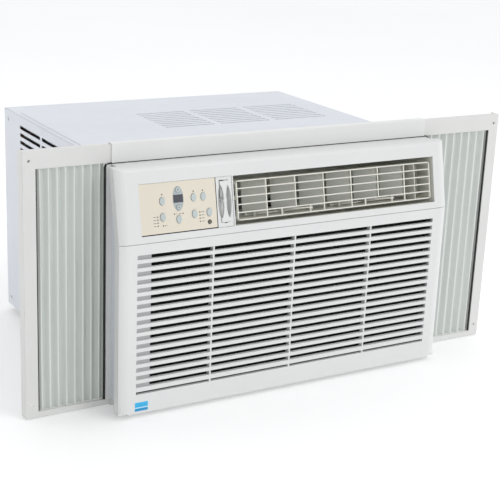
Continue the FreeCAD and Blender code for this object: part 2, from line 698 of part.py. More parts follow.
def bezel():
    tall = BEZEL_TOP - SEAM_Z + 4 * BEZEL_DEPTH
    outer = face_profile(0, BEZEL_DEPTH, 0, -BEZEL_DEPTH).extrude(V(0, 0, tall))
    outer = on_slope(outer)
    upper = outer.common(crown_limits())
    cap = box(-HALF_W, HALF_W, FRONT_Y + 2 * BEZEL_DEPTH - 2 * EPS, RAIL_Y - GAP, TOP_Z + GAP, BEZEL_TOP)
    inner = face_profile(FACE_T, BEZEL_DEPTH - FACE_T, WALL, -BEZEL_DEPTH).extrude(V(0, 0, tall))
    mouth = box(-HALF_W - GAP, HALF_W + GAP, FACE_T + BEVEL_Y, BEZEL_DEPTH + EPS, -BEZEL_DEPTH, tall)
    hollow_limits = box(-BEZEL_HALF, BEZEL_HALF, FRONT_Y, BACK_Y, SEAM_Z + WALL, TOP_Z + GAP)
    hollow = on_slope(inner.fuse(mouth)).common(hollow_limits)
    throat = box(-BEZEL_HALF + 2 * WALL, BEZEL_HALF - 2 * WALL, FRONT_Y + 3 * PANEL_T, BACK_Y,
                 SEAM_Z - EPS, SEAM_Z + WALL + EPS)
    upper = upper.fuse(cap).cut([hollow, throat])
    windows = [box(PANEL_X0 - GAP, PULL_X1 + GAP, -EPS, FACE_T + EPS, WINDOW_S0 - GAP, WINDOW_S1 + GAP),
               box(DUCT_X0, DUCT_X1, -EPS, FACE_T + EPS, WINDOW_S0, WINDOW_S1)]
    upper = upper.cut([on_slope(w) for w in windows])
    y0 = FRONT_Y + PANEL_T + PANEL_GAP
    y1 = FRONT_Y + BEZEL_DEPTH
    shelf = BEZEL_LOW + 2 * WALL
    lip_y = HINGE_Y + HINGE_LIP_R + GAP
    walls = box(-BEZEL_HALF, BEZEL_HALF, y0, y1, BEZEL_LOW, SEAM_Z)
    room = box(-BEZEL_HALF + WALL, BEZEL_HALF - WALL, y0 - EPS, y1 - WALL, BEZEL_LOW + WALL, SEAM_Z + EPS)
    rear_open = box(-HALF_W - GAP, HALF_W + GAP, y0 - EPS, y1 + EPS, shelf, SEAM_Z + EPS)
    lip_room = box(-BEZEL_HALF + WALL, BEZEL_HALF - WALL, y0 - EPS, lip_y, BEZEL_LOW - EPS, shelf)
    lip_sides = box(-BEZEL_HALF - EPS, BEZEL_HALF + EPS, y0 - EPS, lip_y, BEZEL_LOW - EPS,
                    HINGE_Z + HINGE_LIP_R + GAP)
    lower = walls.cut([room, rear_open, lip_room, lip_sides])
    ears = []
    reach = HINGE_EAR_HALF + HINGE_PIN_REACH
    for x in HINGE_X:
        ears.append(box(x - HINGE_EAR_HALF, x + HINGE_EAR_HALF, HINGE_Y, lip_y + 2 * EPS,
                        HINGE_Z - HINGE_EAR_DROP, HINGE_Z + HINGE_PIN_R / 4))
        ears.append(rod_x(HINGE_PIN_R, x - reach, x + reach, HINGE_Y, HINGE_Z))
    return upper.fuse([lower] + ears).removeSplitter()


def intake_grille():
    z1 = SEAM_Z - PANEL_GAP
    slab = face_profile(FRONT_Y, FRONT_Y + PANEL_T, 0, HINGE_Z).extrude(V(0, 0, z1 - HINGE_Z))
    skirt_x = BEZEL_HALF - WALL - PANEL_GAP
    rims = [box(-skirt_x, -skirt_x + WALL, FRONT_Y + PANEL_T, FRONT_Y + PANEL_T + FIN_DEPTH / 2, HINGE_Z, z1),
            box(skirt_x - WALL, skirt_x, FRONT_Y + PANEL_T, FRONT_Y + PANEL_T + FIN_DEPTH / 2, HINGE_Z, z1)]
    lip = rod_x(HINGE_LIP_R, -BEZEL_HALF + BEVEL_X, BEZEL_HALF - BEVEL_X, HINGE_Y, HINGE_Z)
    foot_l = rod_x(HINGE_LIP_R - WALL, -BEZEL_HALF, -BEZEL_HALF + BEVEL_X + EPS, HINGE_Y - EPS / 2, HINGE_Z)
    foot_r = rod_x(HINGE_LIP_R - WALL, BEZEL_HALF - BEVEL_X - EPS, BEZEL_HALF, HINGE_Y - EPS / 2, HINGE_Z)
    panel = slab.fuse(rims + [lip, foot_l, foot_r])
    cuts = []
    edges = [-SLOT_HALF] + GRILLE_RIBS + [SLOT_HALF]
    for row in range(SLOT_ROWS):
        z = SLOT_FIRST_Z + row * SLOT_PITCH
        half_h = SLOT_LOW_H / 2 if row == 0 else SLOT_H / 2
        for i in range(len(edges) - 1):
            x0 = edges[i] + (GRILLE_RIB_W / 2 if i else 0)
            x1 = edges[i + 1] - (GRILLE_RIB_W / 2 if i < len(edges) - 2 else 0)
            if i == 0 and row > 0:
                cuts.append(box(x0, x0 + BLIND_END, FRONT_Y - EPS, FRONT_Y + BLIND_DEPTH, z - half_h,
                                z + half_h))
                x0 = x0 + BLIND_END
            cuts.append(box(x0, x1, FRONT_Y - EPS, FRONT_Y + PANEL_T + EPS, z - half_h, z + half_h))
    panel = panel.cut(solids(cuts))
    slats = []
    for row in range(SLOT_ROWS - 1):
        z = SLOT_FIRST_Z + (row + 0.5) * SLOT_PITCH
        y0 = FRONT_Y + PANEL_T - EPS
        y1 = FRONT_Y + PANEL_T + FIN_DEPTH - EPS
        slats.append(prism([(-SLOT_HALF, y0, z - FIN_ROOT_HALF), (-SLOT_HALF, y0, z + FIN_ROOT_HALF),
                            (-SLOT_HALF, y1, z + FIN_TIP_HIGH), (-SLOT_HALF, y1, z + FIN_TIP_LOW)],
                           (2 * SLOT_HALF, 0, 0)))
    for x in GRILLE_RIBS:
        slats.append(box(x - GRILLE_RIB_W / 2, x + GRILLE_RIB_W / 2, FRONT_Y + PANEL_T - EPS,
                         FRONT_Y + PANEL_T + FIN_DEPTH / 2, SLOT_FIRST_Z, z1 - SLOT_PITCH))
    panel = panel.fuse(slats)
    notches = []
    for x in HINGE_X:
        half = HINGE_EAR_HALF + GAP
        notches.append(box(x - half, x + half, HINGE_Y - WALL - GAP, HINGE_Y + HINGE_LIP_R + EPS,
                           HINGE_Z - HINGE_LIP_R - EPS, HINGE_Z + WALL))
        reach = half + HINGE_PIN_REACH + GAP
        notches.append(rod_x(HINGE_PIN_R + FIT, x - reach, x + reach, HINGE_Y, HINGE_Z))
    return panel.cut(solids(notches)).removeSplitter()


def energy_label():
    y = FRONT_Y - LABEL_T
    return box(LABEL_X0, LABEL_X0 + LABEL_W, y, FRONT_Y, LABEL_Z0, LABEL_Z0 + LABEL_H)


def air_filter():
    y0 = FRONT_Y + BEZEL_DEPTH - 2 * WALL + GAP
    y1 = y0 + WALL
    half = EVAP_HALF + WALL
    z0 = BEZEL_LOW + 2 * WALL + GAP
    frame = box(-half, half, y0, y1, z0, EVAP_Z1)
    pitch_x = (2 * half - WALL) / FILTER_CELLS
    pitch_z = (EVAP_Z1 - z0 - WALL) / FILTER_ROWS
    cuts = []
    for i in range(FILTER_CELLS):
        for k in range(FILTER_ROWS):
            x = -half + WALL + i * pitch_x
            z = z0 + WALL + k * pitch_z
            cuts.append(box(x, x + pitch_x - WALL, y0 - EPS, y0 + WALL * FILTER_SKIN, z, z + pitch_z - WALL))
    return frame.cut(solids(cuts))


# ---------------------------------------------------------------- control panel
def control_panel():
    plate = box(PANEL_X0, PANEL_X1, PLATE_SINK, PLATE_SINK + PLATE_T, WINDOW_S0 + PLATE_INSET, WINDOW_S1)
    cuts = []
    for x, s in KEYS:
        cuts.append(oval_y(x, s, KEY_HALF_W + GAP, KEY_HALF_H + GAP, 0, PLATE_SINK + PLATE_T + EPS))
    for x, s in LAMPS:
        cuts.append(rod_y(LAMP_R, x, 0, PLATE_SINK + PLATE_T + EPS, s))
    cuts.append(rod_y(LENS_R, LENS_X, 0, PLATE_SINK + PLATE_T + EPS, LENS_S))
    cuts.append(oval_y(DISH_X, DISH_S, DISH_HALF_W, DISH_HALF_H, 0, PLATE_SINK + PLATE_T + EPS))
    return on_slope(plate.cut(solids(cuts)))


def display_bezel():
    dish = oval_y(DISH_X, DISH_S, DISH_HALF_W, DISH_HALF_H, PLATE_SINK - DISH_PROUD, PLATE_SINK + PLATE_T)
    cuts = [rod_y(ARROW_R + GAP, x, 0, PLATE_SINK + PLATE_T + EPS, s) for x, s in ARROWS]
    cuts.append(box(DISH_X - DISPLAY_HALF_W, DISH_X + DISPLAY_HALF_W, 0, PLATE_SINK + PLATE_T + EPS,
                    DISH_S - DISPLAY_HALF_H, DISH_S + DISPLAY_HALF_H))
    return on_slope(dish.cut(cuts))


def display_window():
    pane = box(DISH_X - DISPLAY_HALF_W, DISH_X + DISPLAY_HALF_W, PLATE_SINK, PLATE_SINK + PLATE_T,
               DISH_S - DISPLAY_HALF_H, DISH_S + DISPLAY_HALF_H)
    return on_slope(pane)


def status_lamps():
    y0 = PLATE_SINK - LAMP_PROUD
    return on_slope(solids([rod_y(LAMP_R, x, y0, PLATE_SINK + PLATE_T, s) for x, s in LAMPS]))


def receiver_lens():
    body = rod_y(LENS_R, LENS_X, PLATE_SINK, PLATE_SINK + PLATE_T, LENS_S)
    return on_slope(body.fuse(Part.makeSphere(LENS_DOME_R, V(LENS_X, PLATE_SINK + LENS_R / 2, LENS_S))))


def key(x, s):
    """Oval key with a hidden flange behind the panel and a plunger over its switch."""
    cap = oval_y(x, s, KEY_HALF_W, KEY_HALF_H, PLATE_SINK - KEY_PROUD, PLATE_SINK + PLATE_T + KEY_TRAVEL)
    rim = [e for e in cap.Edges if e.BoundBox.YMax < PLATE_SINK]
    cap = cap.makeFillet(KEY_PROUD / 2, rim)
    y1 = PLATE_SINK + PLATE_T + KEY_FLANGE
    flange = oval_y(x, s, KEY_HALF_W + 2 * GAP, KEY_HALF_H + 2 * GAP, PLATE_SINK + PLATE_T + KEY_FLANGE_GAP, y1)
    stem = rod_y(LAMP_R, x, y1, BOARD_D - KEY_TRAVEL - SWITCH_T - GAP, s)
    return on_slope(cap.fuse([flange, stem]))


def arrow_key(x, s):
    cap = rod_y(ARROW_R, x, PLATE_SINK - KEY_PROUD, PLATE_SINK + PLATE_T + KEY_TRAVEL, s)
    rim = [e for e in cap.Edges if e.BoundBox.YMax < PLATE_SINK]
    cap = cap.makeFillet(KEY_PROUD / 2, rim)
    y1 = PLATE_SINK + PLATE_T + KEY_FLANGE
    flange = rod_y(ARROW_R + 2 * GAP, x, PLATE_SINK + PLATE_T + KEY_FLANGE_GAP, y1, s)
    stem = rod_y(LAMP_R, x, y1, BOARD_D - KEY_TRAVEL - SWITCH_T - GAP, s)
    return on_slope(cap.fuse([flange, stem]))


def circuit_board():
    back = BOARD_D + BOARD_T
    board = box(PANEL_X0 + 3 * WALL, PANEL_X1 - 3 * WALL, BOARD_D, back, WINDOW_S0 + WALL, WINDOW_S1 - WALL)
    half = SWITCH_HALF
    switches = [box(x - half, x + half, BOARD_D - SWITCH_T, BOARD_D, s - half, s + half)
                for x, s in KEYS + ARROWS]
    chip = box(CHIP_X - CHIP_HALF_W, CHIP_X + CHIP_HALF_W, back, back + CHIP_T, CHIP_S - CHIP_HALF_H,
               CHIP_S + CHIP_HALF_H)
    buffer_can = rod_y(BUFFER_R, BUFFER_X, back, back + BUFFER_H, BUFFER_S)
    relay = box(RELAY_X - RELAY_HALF, RELAY_X + RELAY_HALF, back, back + RELAY_H, RELAY_S - RELAY_HALF,
                RELAY_S + RELAY_HALF)
    return on_slope(board.fuse(switches + [chip, buffer_can, relay]))


def control_box():
    outer = box(PANEL_X0 + WALL, PANEL_X1 - WALL, PLATE_SINK + PLATE_T, BOX_D, WINDOW_S0, WINDOW_S1)
    room = box(PANEL_X0 + 2 * WALL, PANEL_X1 - 2 * WALL, PLATE_SINK, BOX_D - WALL, WINDOW_S0 + WALL,
               WINDOW_S1 - WALL)
    shell = outer.cut(room)
    posts = []
    for x in (PANEL_X0 + 4 * WALL, PANEL_X1 - 4 * WALL):
        for s in (WINDOW_S0 + 3 * WALL, WINDOW_S1 - 3 * WALL):
            posts.append(rod_y(WALL, x, BOARD_D + BOARD_T, BOX_D - WALL, s))
    return on_slope(shell.fuse(posts))


# ---------------------------------------------------------------- vent pull
def vent_escutcheon():
    x = (PULL_X0 + PULL_X1) / 2
    s = (WINDOW_S0 + WINDOW_S1) / 2
    plate = box(PULL_X0, PULL_X1, PLATE_SINK, PLATE_SINK + PLATE_T, WINDOW_S0, WINDOW_S1)
    cup = oval_y(x, s, SCOOP_HALF_W + SHEET, SCOOP_HALF_H + SHEET, PLATE_SINK, PLATE_SINK + SCOOP_DEPTH + SHEET)
    room = oval_y(x, s, SCOOP_HALF_W, SCOOP_HALF_H, PLATE_SINK - EPS, PLATE_SINK + SCOOP_DEPTH)
    pocket = box(x + POCKET_X0, x + POCKET_X1, PLATE_SINK - EPS, PLATE_SINK + PLATE_T - POCKET_SKIN, POCKET_S0,
                 POCKET_S1)
    body = on_slope(plate.fuse(cup).cut([room, pocket]))
    passage = box(x - ROD_HALF - GAP, x + ROD_HALF + GAP, FRONT_Y, FRONT_Y + 4 * BEZEL_DEPTH,
                  ROD_Z - ROD_HALF - GAP, ROD_Z + ROD_HALF + GAP)
    return body.cut(passage)


def vent_pull():
    """Tab with two finger holes and a rib between them, on a rod that runs back to the vent door."""
    x = (PULL_X0 + PULL_X1) / 2
    s = (PULL_BAR_S0 + PULL_BAR_S1) / 2
    tab = box(x - PULL_HALF_W, x + PULL_HALF_W, PULL_D0, PULL_D1, PULL_BAR_S0, PULL_BAR_S1)
    corners = [e for e in tab.Edges if e.BoundBox.XLength < EPS and e.BoundBox.ZLength < EPS]
    tab = tab.makeFillet(SHEET, corners)
    holes = [oval_y(x + side * PULL_HOLE_X, s, PULL_HOLE_HALF_W, PULL_HOLE_HALF_H, PULL_D0 - EPS, PULL_D1 + EPS)
             for side in (-1, 1)]
    tab = tab.cut(holes)
    web = box(x - SHEET, x + SHEET, PULL_D1 - EPS, PLATE_SINK + SCOOP_DEPTH / 2, PULL_BAR_S0 + PULL_WEB_INSET,
              PULL_BAR_S1 - PULL_WEB_INSET)
    grip = on_slope(tab.fuse(web))
    rod = box(x - ROD_HALF, x + ROD_HALF, FRONT_Y + SCOOP_DEPTH, DOOR_Y - GAP - ROD_END_GAP, ROD_Z - ROD_HALF,
              ROD_Z + ROD_HALF)
    return grip.fuse(rod).removeSplitter()


def vent_door():
    """Flap on the room side of the partition, hinged along its top edge."""
    leaf = box(DOOR_X0, DOOR_X1, DOOR_Y - DOOR_T, DOOR_Y, DOOR_LOW, DOOR_TOP)
    barrel = rod_x(DOOR_BARREL_R, DOOR_X0, DOOR_X1, DOOR_Y - DOOR_T / 2, DOOR_TOP)
    x = (PULL_X0 + PULL_X1) / 2
    horn = box(x - HORN_HALF_W, x + HORN_HALF_W, DOOR_Y - DOOR_T - HORN_LEN, DOOR_Y - DOOR_T,
               ROD_Z - HORN_HALF_H, ROD_Z + HORN_HALF_H)
    bore = rod_x(DOOR_PIN_R + FIT, DOOR_X0 - EPS, DOOR_X1 + EPS, DOOR_Y - DOOR_T / 2, DOOR_TOP)
    return leaf.fuse([barrel, horn]).cut(bore).removeSplitter()


# ---------------------------------------------------------------- outlet
def outlet_duct():
    s0 = WINDOW_S0
    s1 = WINDOW_S1
    outer = box(DUCT_X0 - DUCT_WALL, DUCT_X1 + DUCT_WALL, FACE_T, THROAT_D, s0 - DUCT_WALL, s1 + DUCT_WALL)
    inner = box(DUCT_X0, DUCT_X1, FACE_T - EPS, THROAT_D + EPS, s0, s1)
    throat = outer.cut(inner)
    for x0 in (DUCT_X0 - DUCT_WALL, DUCT_X1):
        throat = throat.cut(rod_x(TILT_PIN_R + FIT, x0 - EPS, x0 + DUCT_WALL + EPS, TILT_D, TILT_S))
    throat = on_slope(throat)
    y0 = FRONT_Y + THROAT_D - DUCT_LAP
    z_floor = SCROLL_Z1 + GAP
    z_roof = TOP_Z - 3 * SHEET - DUCT_LAP
    rear = box(DUCT_X0 - DUCT_WALL, DUCT_X1 + DUCT_WALL, y0, SCROLL_Y1, z_floor, z_roof)
    room = box(DUCT_X0, DUCT_X1, y0 - EPS, SCROLL_Y1 - DUCT_WALL, z_floor + DUCT_WALL, z_roof - DUCT_WALL)
    drop = box(SCROLL_X0 + 3 * WALL, FAN_X, SCROLL_Y0 + WALL, SCROLL_Y1 - WALL, z_floor - EPS,
               z_floor + DUCT_WALL + EPS)
    front_cut = on_slope(box(DUCT_X0 - 3 * WALL, DUCT_X1 + 3 * WALL, -THROAT_D, THROAT_D, -2 * THROAT_D,
                             3 * THROAT_D))
    rear = rear.cut([room, drop]).cut(front_cut)
    return throat.fuse(rear).removeSplitter()


def column_x(i):
    return LOUVRE_X0 + (LOUVRE_X1 - LOUVRE_X0) * i / GRID_COLS


def louvre_frame():
    """Cream grid with a shelf above and below that carries the swing vanes."""
    x0 = LOUVRE_X0
    x1 = LOUVRE_X1
    border = box(x0, x1, LOUVRE_D0, LOUVRE_D1, LOUVRE_S0, LOUVRE_S1)
    corners = [e for e in border.Edges if e.BoundBox.YLength > GRID_T * 2]
    border = border.makeFillet(FRAME_CORNER_R, corners)
    border = border.cut(box(x0 + LOUVRE_WALL, x1 - LOUVRE_WALL, LOUVRE_D0 - EPS, LOUVRE_D1 + EPS,
                            LOUVRE_S0 + LOUVRE_WALL, LOUVRE_S1 - LOUVRE_WALL))
    row = (LOUVRE_S1 - LOUVRE_S0) / GRID_ROWS
    half = LOUVRE_WALL / 2
    bars = []
    for k in range(1, GRID_ROWS):
        s = LOUVRE_S0 + k * row
        bars.append(box(x0 + half, x1 - half, LOUVRE_D0, LOUVRE_D0 + GRID_T, s - half, s + half))
    for i in range(1, GRID_COLS):
        x = column_x(i)
        low = LOUVRE_S0 + (row if i in LEVER_BARS else 0) + half
        bars.append(box(x - half, x + half, LOUVRE_D0 + BAR_SINK, LOUVRE_D0 + GRID_T, low, LOUVRE_S1 - half))
        if i in LEVER_BARS:
            for side in (-1, 1):
                post = x + side * (column_x(1) - column_x(0)) / 2
                bars.append(box(post - half, post + half, LOUVRE_D0 + BAR_SINK, LOUVRE_D0 + GRID_T,
                                LOUVRE_S0 + half, LOUVRE_S0 + row))
    bars.append(box(DIVIDER_X - DIVIDER_T / 2, DIVIDER_X + DIVIDER_T / 2, LOUVRE_D0 + GRID_T, CHEEK_D1,
                    LOUVRE_S0 + half, LOUVRE_S1 - half))
    frame = border.fuse(bars)
    pins = [rod_x(TILT_PIN_R, DUCT_X0 - DUCT_WALL, x0 + LOUVRE_WALL, TILT_D, TILT_S),
            rod_x(TILT_PIN_R, x1 - LOUVRE_WALL, DUCT_X1 + DUCT_WALL, TILT_D, TILT_S)]
    holes = []
    for cheek in (x0 - EPS, x1 - LOUVRE_WALL - EPS):
        end = cheek + LOUVRE_WALL + 2 * EPS
        holes.append(box(cheek, end, CHEEK_D0, CHEEK_D1, CHEEK_S0, TILT_S - CHEEK_STRUT))
        holes.append(box(cheek, end, CHEEK_D0, CHEEK_D1, TILT_S + CHEEK_STRUT, CHEEK_S1))
    for i in range(GRID_COLS - 1):
        x = column_x(i) + VANE_SHIFT
        holes.append(rod_z(VANE_PIN_R + FIT, x, VANE_D, LOUVRE_S0 - EPS, LOUVRE_S1 + EPS))
    return on_slope(frame.cut(solids(holes)).fuse(pins).removeSplitter())


def vane(i):
    """Swing vane on two pins, with a crank pin under its rear edge; every third has a finger lever."""
    half = VANE_CHORD / 2
    blade = box(-half, half, -VANE_T / 2, VANE_T / 2, VANE_S0, VANE_S1)
    ends = [e for e in blade.Edges if e.BoundBox.ZLength > half]
    blade = blade.makeFillet(VANE_ROUND, ends)
    pins = [rod_z(VANE_PIN_R, 0, 0, LOUVRE_S0, VANE_S0 + VANE_STUB),
            rod_z(VANE_PIN_R, 0, 0, VANE_S1 - VANE_STUB, LOUVRE_S1)]
    crank = rod_z(LINK_PIN_R, -LINK_ARM, 0, LINK_S0, VANE_S0 + EPS)
    collar = rod_z(VANE_COLLAR_R, 0, 0, LOUVRE_S0 + LOUVRE_WALL + GAP, VANE_S0 + EPS)
    body = blade.fuse(pins + [crank, collar])
    if i % 3 == 1:
        low = VANE_S0 - LEVER_DROP
        lever = box(0, LEVER_LEN, -LEVER_W / 2, LEVER_W / 2, low, low + LEVER_T)
        corners = [e for e in lever.Edges if e.BoundBox.ZLength > EPS and e.BoundBox.XMin > half]
        body = body.fuse(lever.makeFillet(LEVER_ROUND, corners))
    turn = FreeCAD.Rotation(V(0, 0, 1), -VANE_ANGLE)
    body.Placement = FreeCAD.Placement(V(column_x(i) + VANE_SHIFT, VANE_D, 0), turn)
    return on_slope(body)


def vane_link(first):
    """Tie bar that joins the crank pins of three vanes."""
    angle = math.radians(VANE_ANGLE)
    dx = -LINK_ARM * math.cos(angle)
    dy = LINK_ARM * math.sin(angle)
    x0 = column_x(first) + VANE_SHIFT + dx
    x1 = column_x(first + 2) + VANE_SHIFT + dx
    y = VANE_D + dy
    bar = box(x0, x1, y - LINK_HALF_W, y + LINK_HALF_W, LINK_S0, LINK_S1)
    bar = bar.fuse([rod_z(LINK_EYE_R, x, y, LINK_S0, LINK_S1) for x in (x0, (x0 + x1) / 2, x1)])
    holes = [rod_z(LINK_PIN_R + FIT, x, y, LINK_S0 - EPS, LINK_S1 + EPS) for x in (x0, (x0 + x1) / 2, x1)]
    return on_slope(bar.cut(solids(holes)).removeSplitter())


# ---------------------------------------------------------------- air system
def blower_scroll():
    """Volute housing: a round inlet at the front, an open mouth towards the outlet duct on top."""
    outer = box(SCROLL_X0, SCROLL_X1, SCROLL_Y0, SCROLL_Y1, SCROLL_Z0, SCROLL_Z1)
    corners = [e for e in outer.Edges if e.BoundBox.YLength > WALL and e.BoundBox.ZMax < FAN_Z]
    outer = outer.makeFillet(SCROLL_CORNER_R, corners)
    inner = box(SCROLL_X0 + WALL, SCROLL_X1 - WALL, SCROLL_Y0 + WALL, SCROLL_Y1 - WALL, SCROLL_Z0 + WALL,
                SCROLL_Z1 - WALL)
    corners = [e for e in inner.Edges if e.BoundBox.YLength > WALL and e.BoundBox.ZMax < FAN_Z]
    inner = inner.makeFillet(SCROLL_CORNER_R - WALL, corners)
    mouth = box(SCROLL_X0 + 3 * WALL, FAN_X, SCROLL_Y0 + WALL, SCROLL_Y1 - WALL, SCROLL_Z1 - 2 * WALL,
                SCROLL_Z1 + EPS)
    inlet = rod_y(WHEEL_R - WHEEL_RIM, FAN_X, SCROLL_Y0 - EPS, SCROLL_Y0 + WALL + EPS, FAN_Z)
    shaft = rod_y(4 * SHAFT_R, FAN_X, SCROLL_Y1 - WALL - EPS, SCROLL_Y1 + EPS, FAN_Z)
    return outer.cut([inner, mouth, inlet, shaft])


def blower_wheel():
    back = rod_y(WHEEL_R, FAN_X, WHEEL_Y1 - WALL, WHEEL_Y1, FAN_Z)
    ring = rod_y(WHEEL_R, FAN_X, WHEEL_Y0, WHEEL_Y0 + 2 * WALL, FAN_Z)
    ring = ring.cut(rod_y(WHEEL_R - WHEEL_RIM, FAN_X, WHEEL_Y0 - EPS, WHEEL_Y0 + 2 * WALL + EPS, FAN_Z))
    hub = rod_y(3 * SHAFT_R, FAN_X, WHEEL_Y1 - WHEEL_HUB_LEN, WHEEL_Y1, FAN_Z)
    blades = []
    for i in range(WHEEL_BLADES):
        blade = box(WHEEL_R - WHEEL_BLADE_IN, WHEEL_R - WHEEL_BLADE_OUT, WHEEL_Y0 + WALL, WHEEL_Y1 - SHEET,
                    -WHEEL_BLADE_HALF_T, WHEEL_BLADE_HALF_T)
        middle = WHEEL_R - (WHEEL_BLADE_IN + WHEEL_BLADE_OUT) / 2
        blade.rotate(V(middle, 0, 0), V(0, 1, 0), WHEEL_BLADE_TURN)
        blade.rotate(V(0, 0, 0), V(0, 1, 0), 360.0 * i / WHEEL_BLADES)
        blade.translate(V(FAN_X, 0, FAN_Z))
        blades.append(blade)
    wheel = back.fuse([ring, hub] + blades)
    return wheel.cut(rod_y(SHAFT_R, FAN_X, WHEEL_Y0 - EPS, WHEEL_Y1 + EPS, FAN_Z)).removeSplitter()


def fan_section(x, half_y, half_z, thick):
    """Slanted four-sided section of a fan blade at distance x from the shaft."""
    corners = [V(x, -half_y, -half_z), V(x, thick - half_y, -half_z), V(x, half_y, half_z),
               V(x, half_y - thick, half_z)]
    return Part.makePolygon(corners + [corners[0]])


def condenser_fan():
    hub = rod_y(FAN_HUB_R, FAN_X, FAN_Y0, FAN_Y1 - FAN_HUB_SHORT, FAN_Z)
    blades = []
    for i in range(FAN_BLADES):
        root = fan_section(FAN_ROOT_X, FAN_ROOT_HALF, FAN_ROOT_HALF, FAN_ROOT_T)
        tip = fan_section(FAN_TIP_X, FAN_TIP_HALF_Y, FAN_TIP_HALF_Z, FAN_TIP_T)
        blade = Part.makeLoft([root, tip], True)
        blade.rotate(V(0, 0, 0), V(0, 1, 0), 360.0 * i / FAN_BLADES)
        blade.translate(V(FAN_X, (FAN_Y0 + FAN_Y1) / 2, FAN_Z))
        blades.append(blade)
    y0 = FAN_Y1 - FAN_RING_LEN
    ring = rod_y(FAN_R, FAN_X, y0, FAN_Y1, FAN_Z)
    ring = ring.cut(rod_y(FAN_R - FAN_RING_W, FAN_X, y0 - EPS, FAN_Y1 + EPS, FAN_Z))
    fan = hub.fuse(blades + [ring])
    return fan.cut(rod_y(SHAFT_R, FAN_X, FAN_Y0 - EPS, FAN_Y1 + EPS, FAN_Z)).removeSplitter()


def motor_shaft():
    return rod_y(SHAFT_R, FAN_X, WHEEL_Y1 - SHAFT_LEAD, FAN_Y1 - SHAFT_TAIL, FAN_Z)


def fan_motor():
    can = rod_y(MOTOR_R, FAN_X, MOTOR_Y0, MOTOR_Y1, FAN_Z)
    rims = [e for e in can.Edges if e.BoundBox.YLength < EPS]
    can = can.makeFillet(MOTOR_ROUND, rims)
    bosses = [rod_y(MOTOR_BOSS_R, FAN_X, MOTOR_Y0 - MOTOR_BOSS_LEN, MOTOR_Y0 + EPS, FAN_Z),
              rod_y(MOTOR_BOSS_R, FAN_X, MOTOR_Y1 - EPS, MOTOR_Y1 + MOTOR_BOSS_LEN, FAN_Z)]
    core = rod_y(MOTOR_R - MOTOR_SHELL, FAN_X, MOTOR_Y0 + MOTOR_END, MOTOR_Y1 - MOTOR_END, FAN_Z)
    reach = MOTOR_BOSS_LEN + EPS
    bore = rod_y(SHAFT_R + FIT, FAN_X, MOTOR_Y0 - reach, MOTOR_Y1 + reach, FAN_Z)
    return can.fuse(bosses).cut([core, bore])


def motor_bracket():
    """Two arches on a common foot that cradle the motor."""
    z0 = PAN_Z + SHEET
    z1 = FAN_Z - MOTOR_R + BRACKET_RISE
    x0 = FAN_X - BRACKET_HALF
    x1 = FAN_X + BRACKET_HALF
    wall = BRACKET_WALL
    saddle = box(x0, x1, BRACKET_Y0, BRACKET_Y1, z0, z1)
    saddle = saddle.cut(box(x0 + wall, x1 - wall, BRACKET_Y0 - EPS, BRACKET_Y1 + EPS, z0 + wall,
                            z1 - BRACKET_SEAT))
    saddle = saddle.cut(rod_y(MOTOR_R, FAN_X, BRACKET_Y0 - EPS, BRACKET_Y1 + EPS, FAN_Z))
    between = box(x0 - EPS, x1 + EPS, BRACKET_Y0 + BRACKET_ARM, BRACKET_Y1 - BRACKET_ARM, z0 + wall, z1 + EPS)
    return saddle.cut(between)


def partition():
    x_half = HALF_W - 3 * SHEET
    plate = box(-x_half, x_half, PARTITION_Y, PARTITION_Y + SHEET, PAN_Z + 2 * SHEET, TOP_Z - 3 * SHEET)
    foot = box(-x_half, x_half, PARTITION_Y, PARTITION_Y + RAIL_FOOT, PAN_Z + SHEET, PAN_Z + 2 * SHEET)
    pin = rod_x(DOOR_PIN_R, DOOR_X0 - DOOR_LUG_SPAN, DOOR_X1 + DOOR_LUG_SPAN, DOOR_Y - DOOR_T / 2, DOOR_TOP)
    plate = plate.fuse([foot, pin])
    for x0 in (DOOR_X0 - DOOR_LUG_SPAN, DOOR_X1 + DOOR_LUG_SPAN - DOOR_LUG):
        plate = plate.fuse(box(x0, x0 + DOOR_LUG, DOOR_Y - DOOR_T - DOOR_LUG_HALF_H, PARTITION_Y,
                               DOOR_TOP - DOOR_LUG_HALF_H, DOOR_TOP + DOOR_LUG_HALF_H))
    hole = box(DOOR_X0 + DOOR_LAP, DOOR_X1 - DOOR_LAP, PARTITION_Y - EPS, PARTITION_Y + SHEET + EPS,
               DOOR_LOW + DOOR_LAP, DOOR_TOP - DOOR_LAP - DOOR_LUG_HALF_H)
    shaft = rod_y(4 * SHAFT_R, FAN_X, PARTITION_Y - EPS, PARTITION_Y + SHEET + EPS, FAN_Z)
    pipes = [rod_y(PIPE_HOLE_R, PIPE_X, PARTITION_Y - EPS, PARTITION_Y + SHEET + EPS, z) for z in PIPE_Z]
    return plate.cut([hole, shaft] + pipes).removeSplitter()


def condenser_shroud():
    x_half = COND_HALF
    plate = box(-x_half, x_half, SHROUD_Y1 - WALL, SHROUD_Y1, COND_Z0, COND_Z1)
    ring = rod_y(FAN_R + 3 * WALL, FAN_X, SHROUD_Y0, SHROUD_Y1, FAN_Z)
    hole = rod_y(FAN_R + 2 * WALL, FAN_X, SHROUD_Y0 - EPS, SHROUD_Y1 + EPS, FAN_Z)
    lip = [box(-x_half, -x_half + WALL, SHROUD_Y1 - EPS, COND_Y0 - GAP, COND_Z0, COND_Z1),
           box(x_half - WALL, x_half, SHROUD_Y1 - EPS, COND_Y0 - GAP, COND_Z0, COND_Z1)]
    return plate.fuse([ring] + lip).cut(hole).removeSplitter()


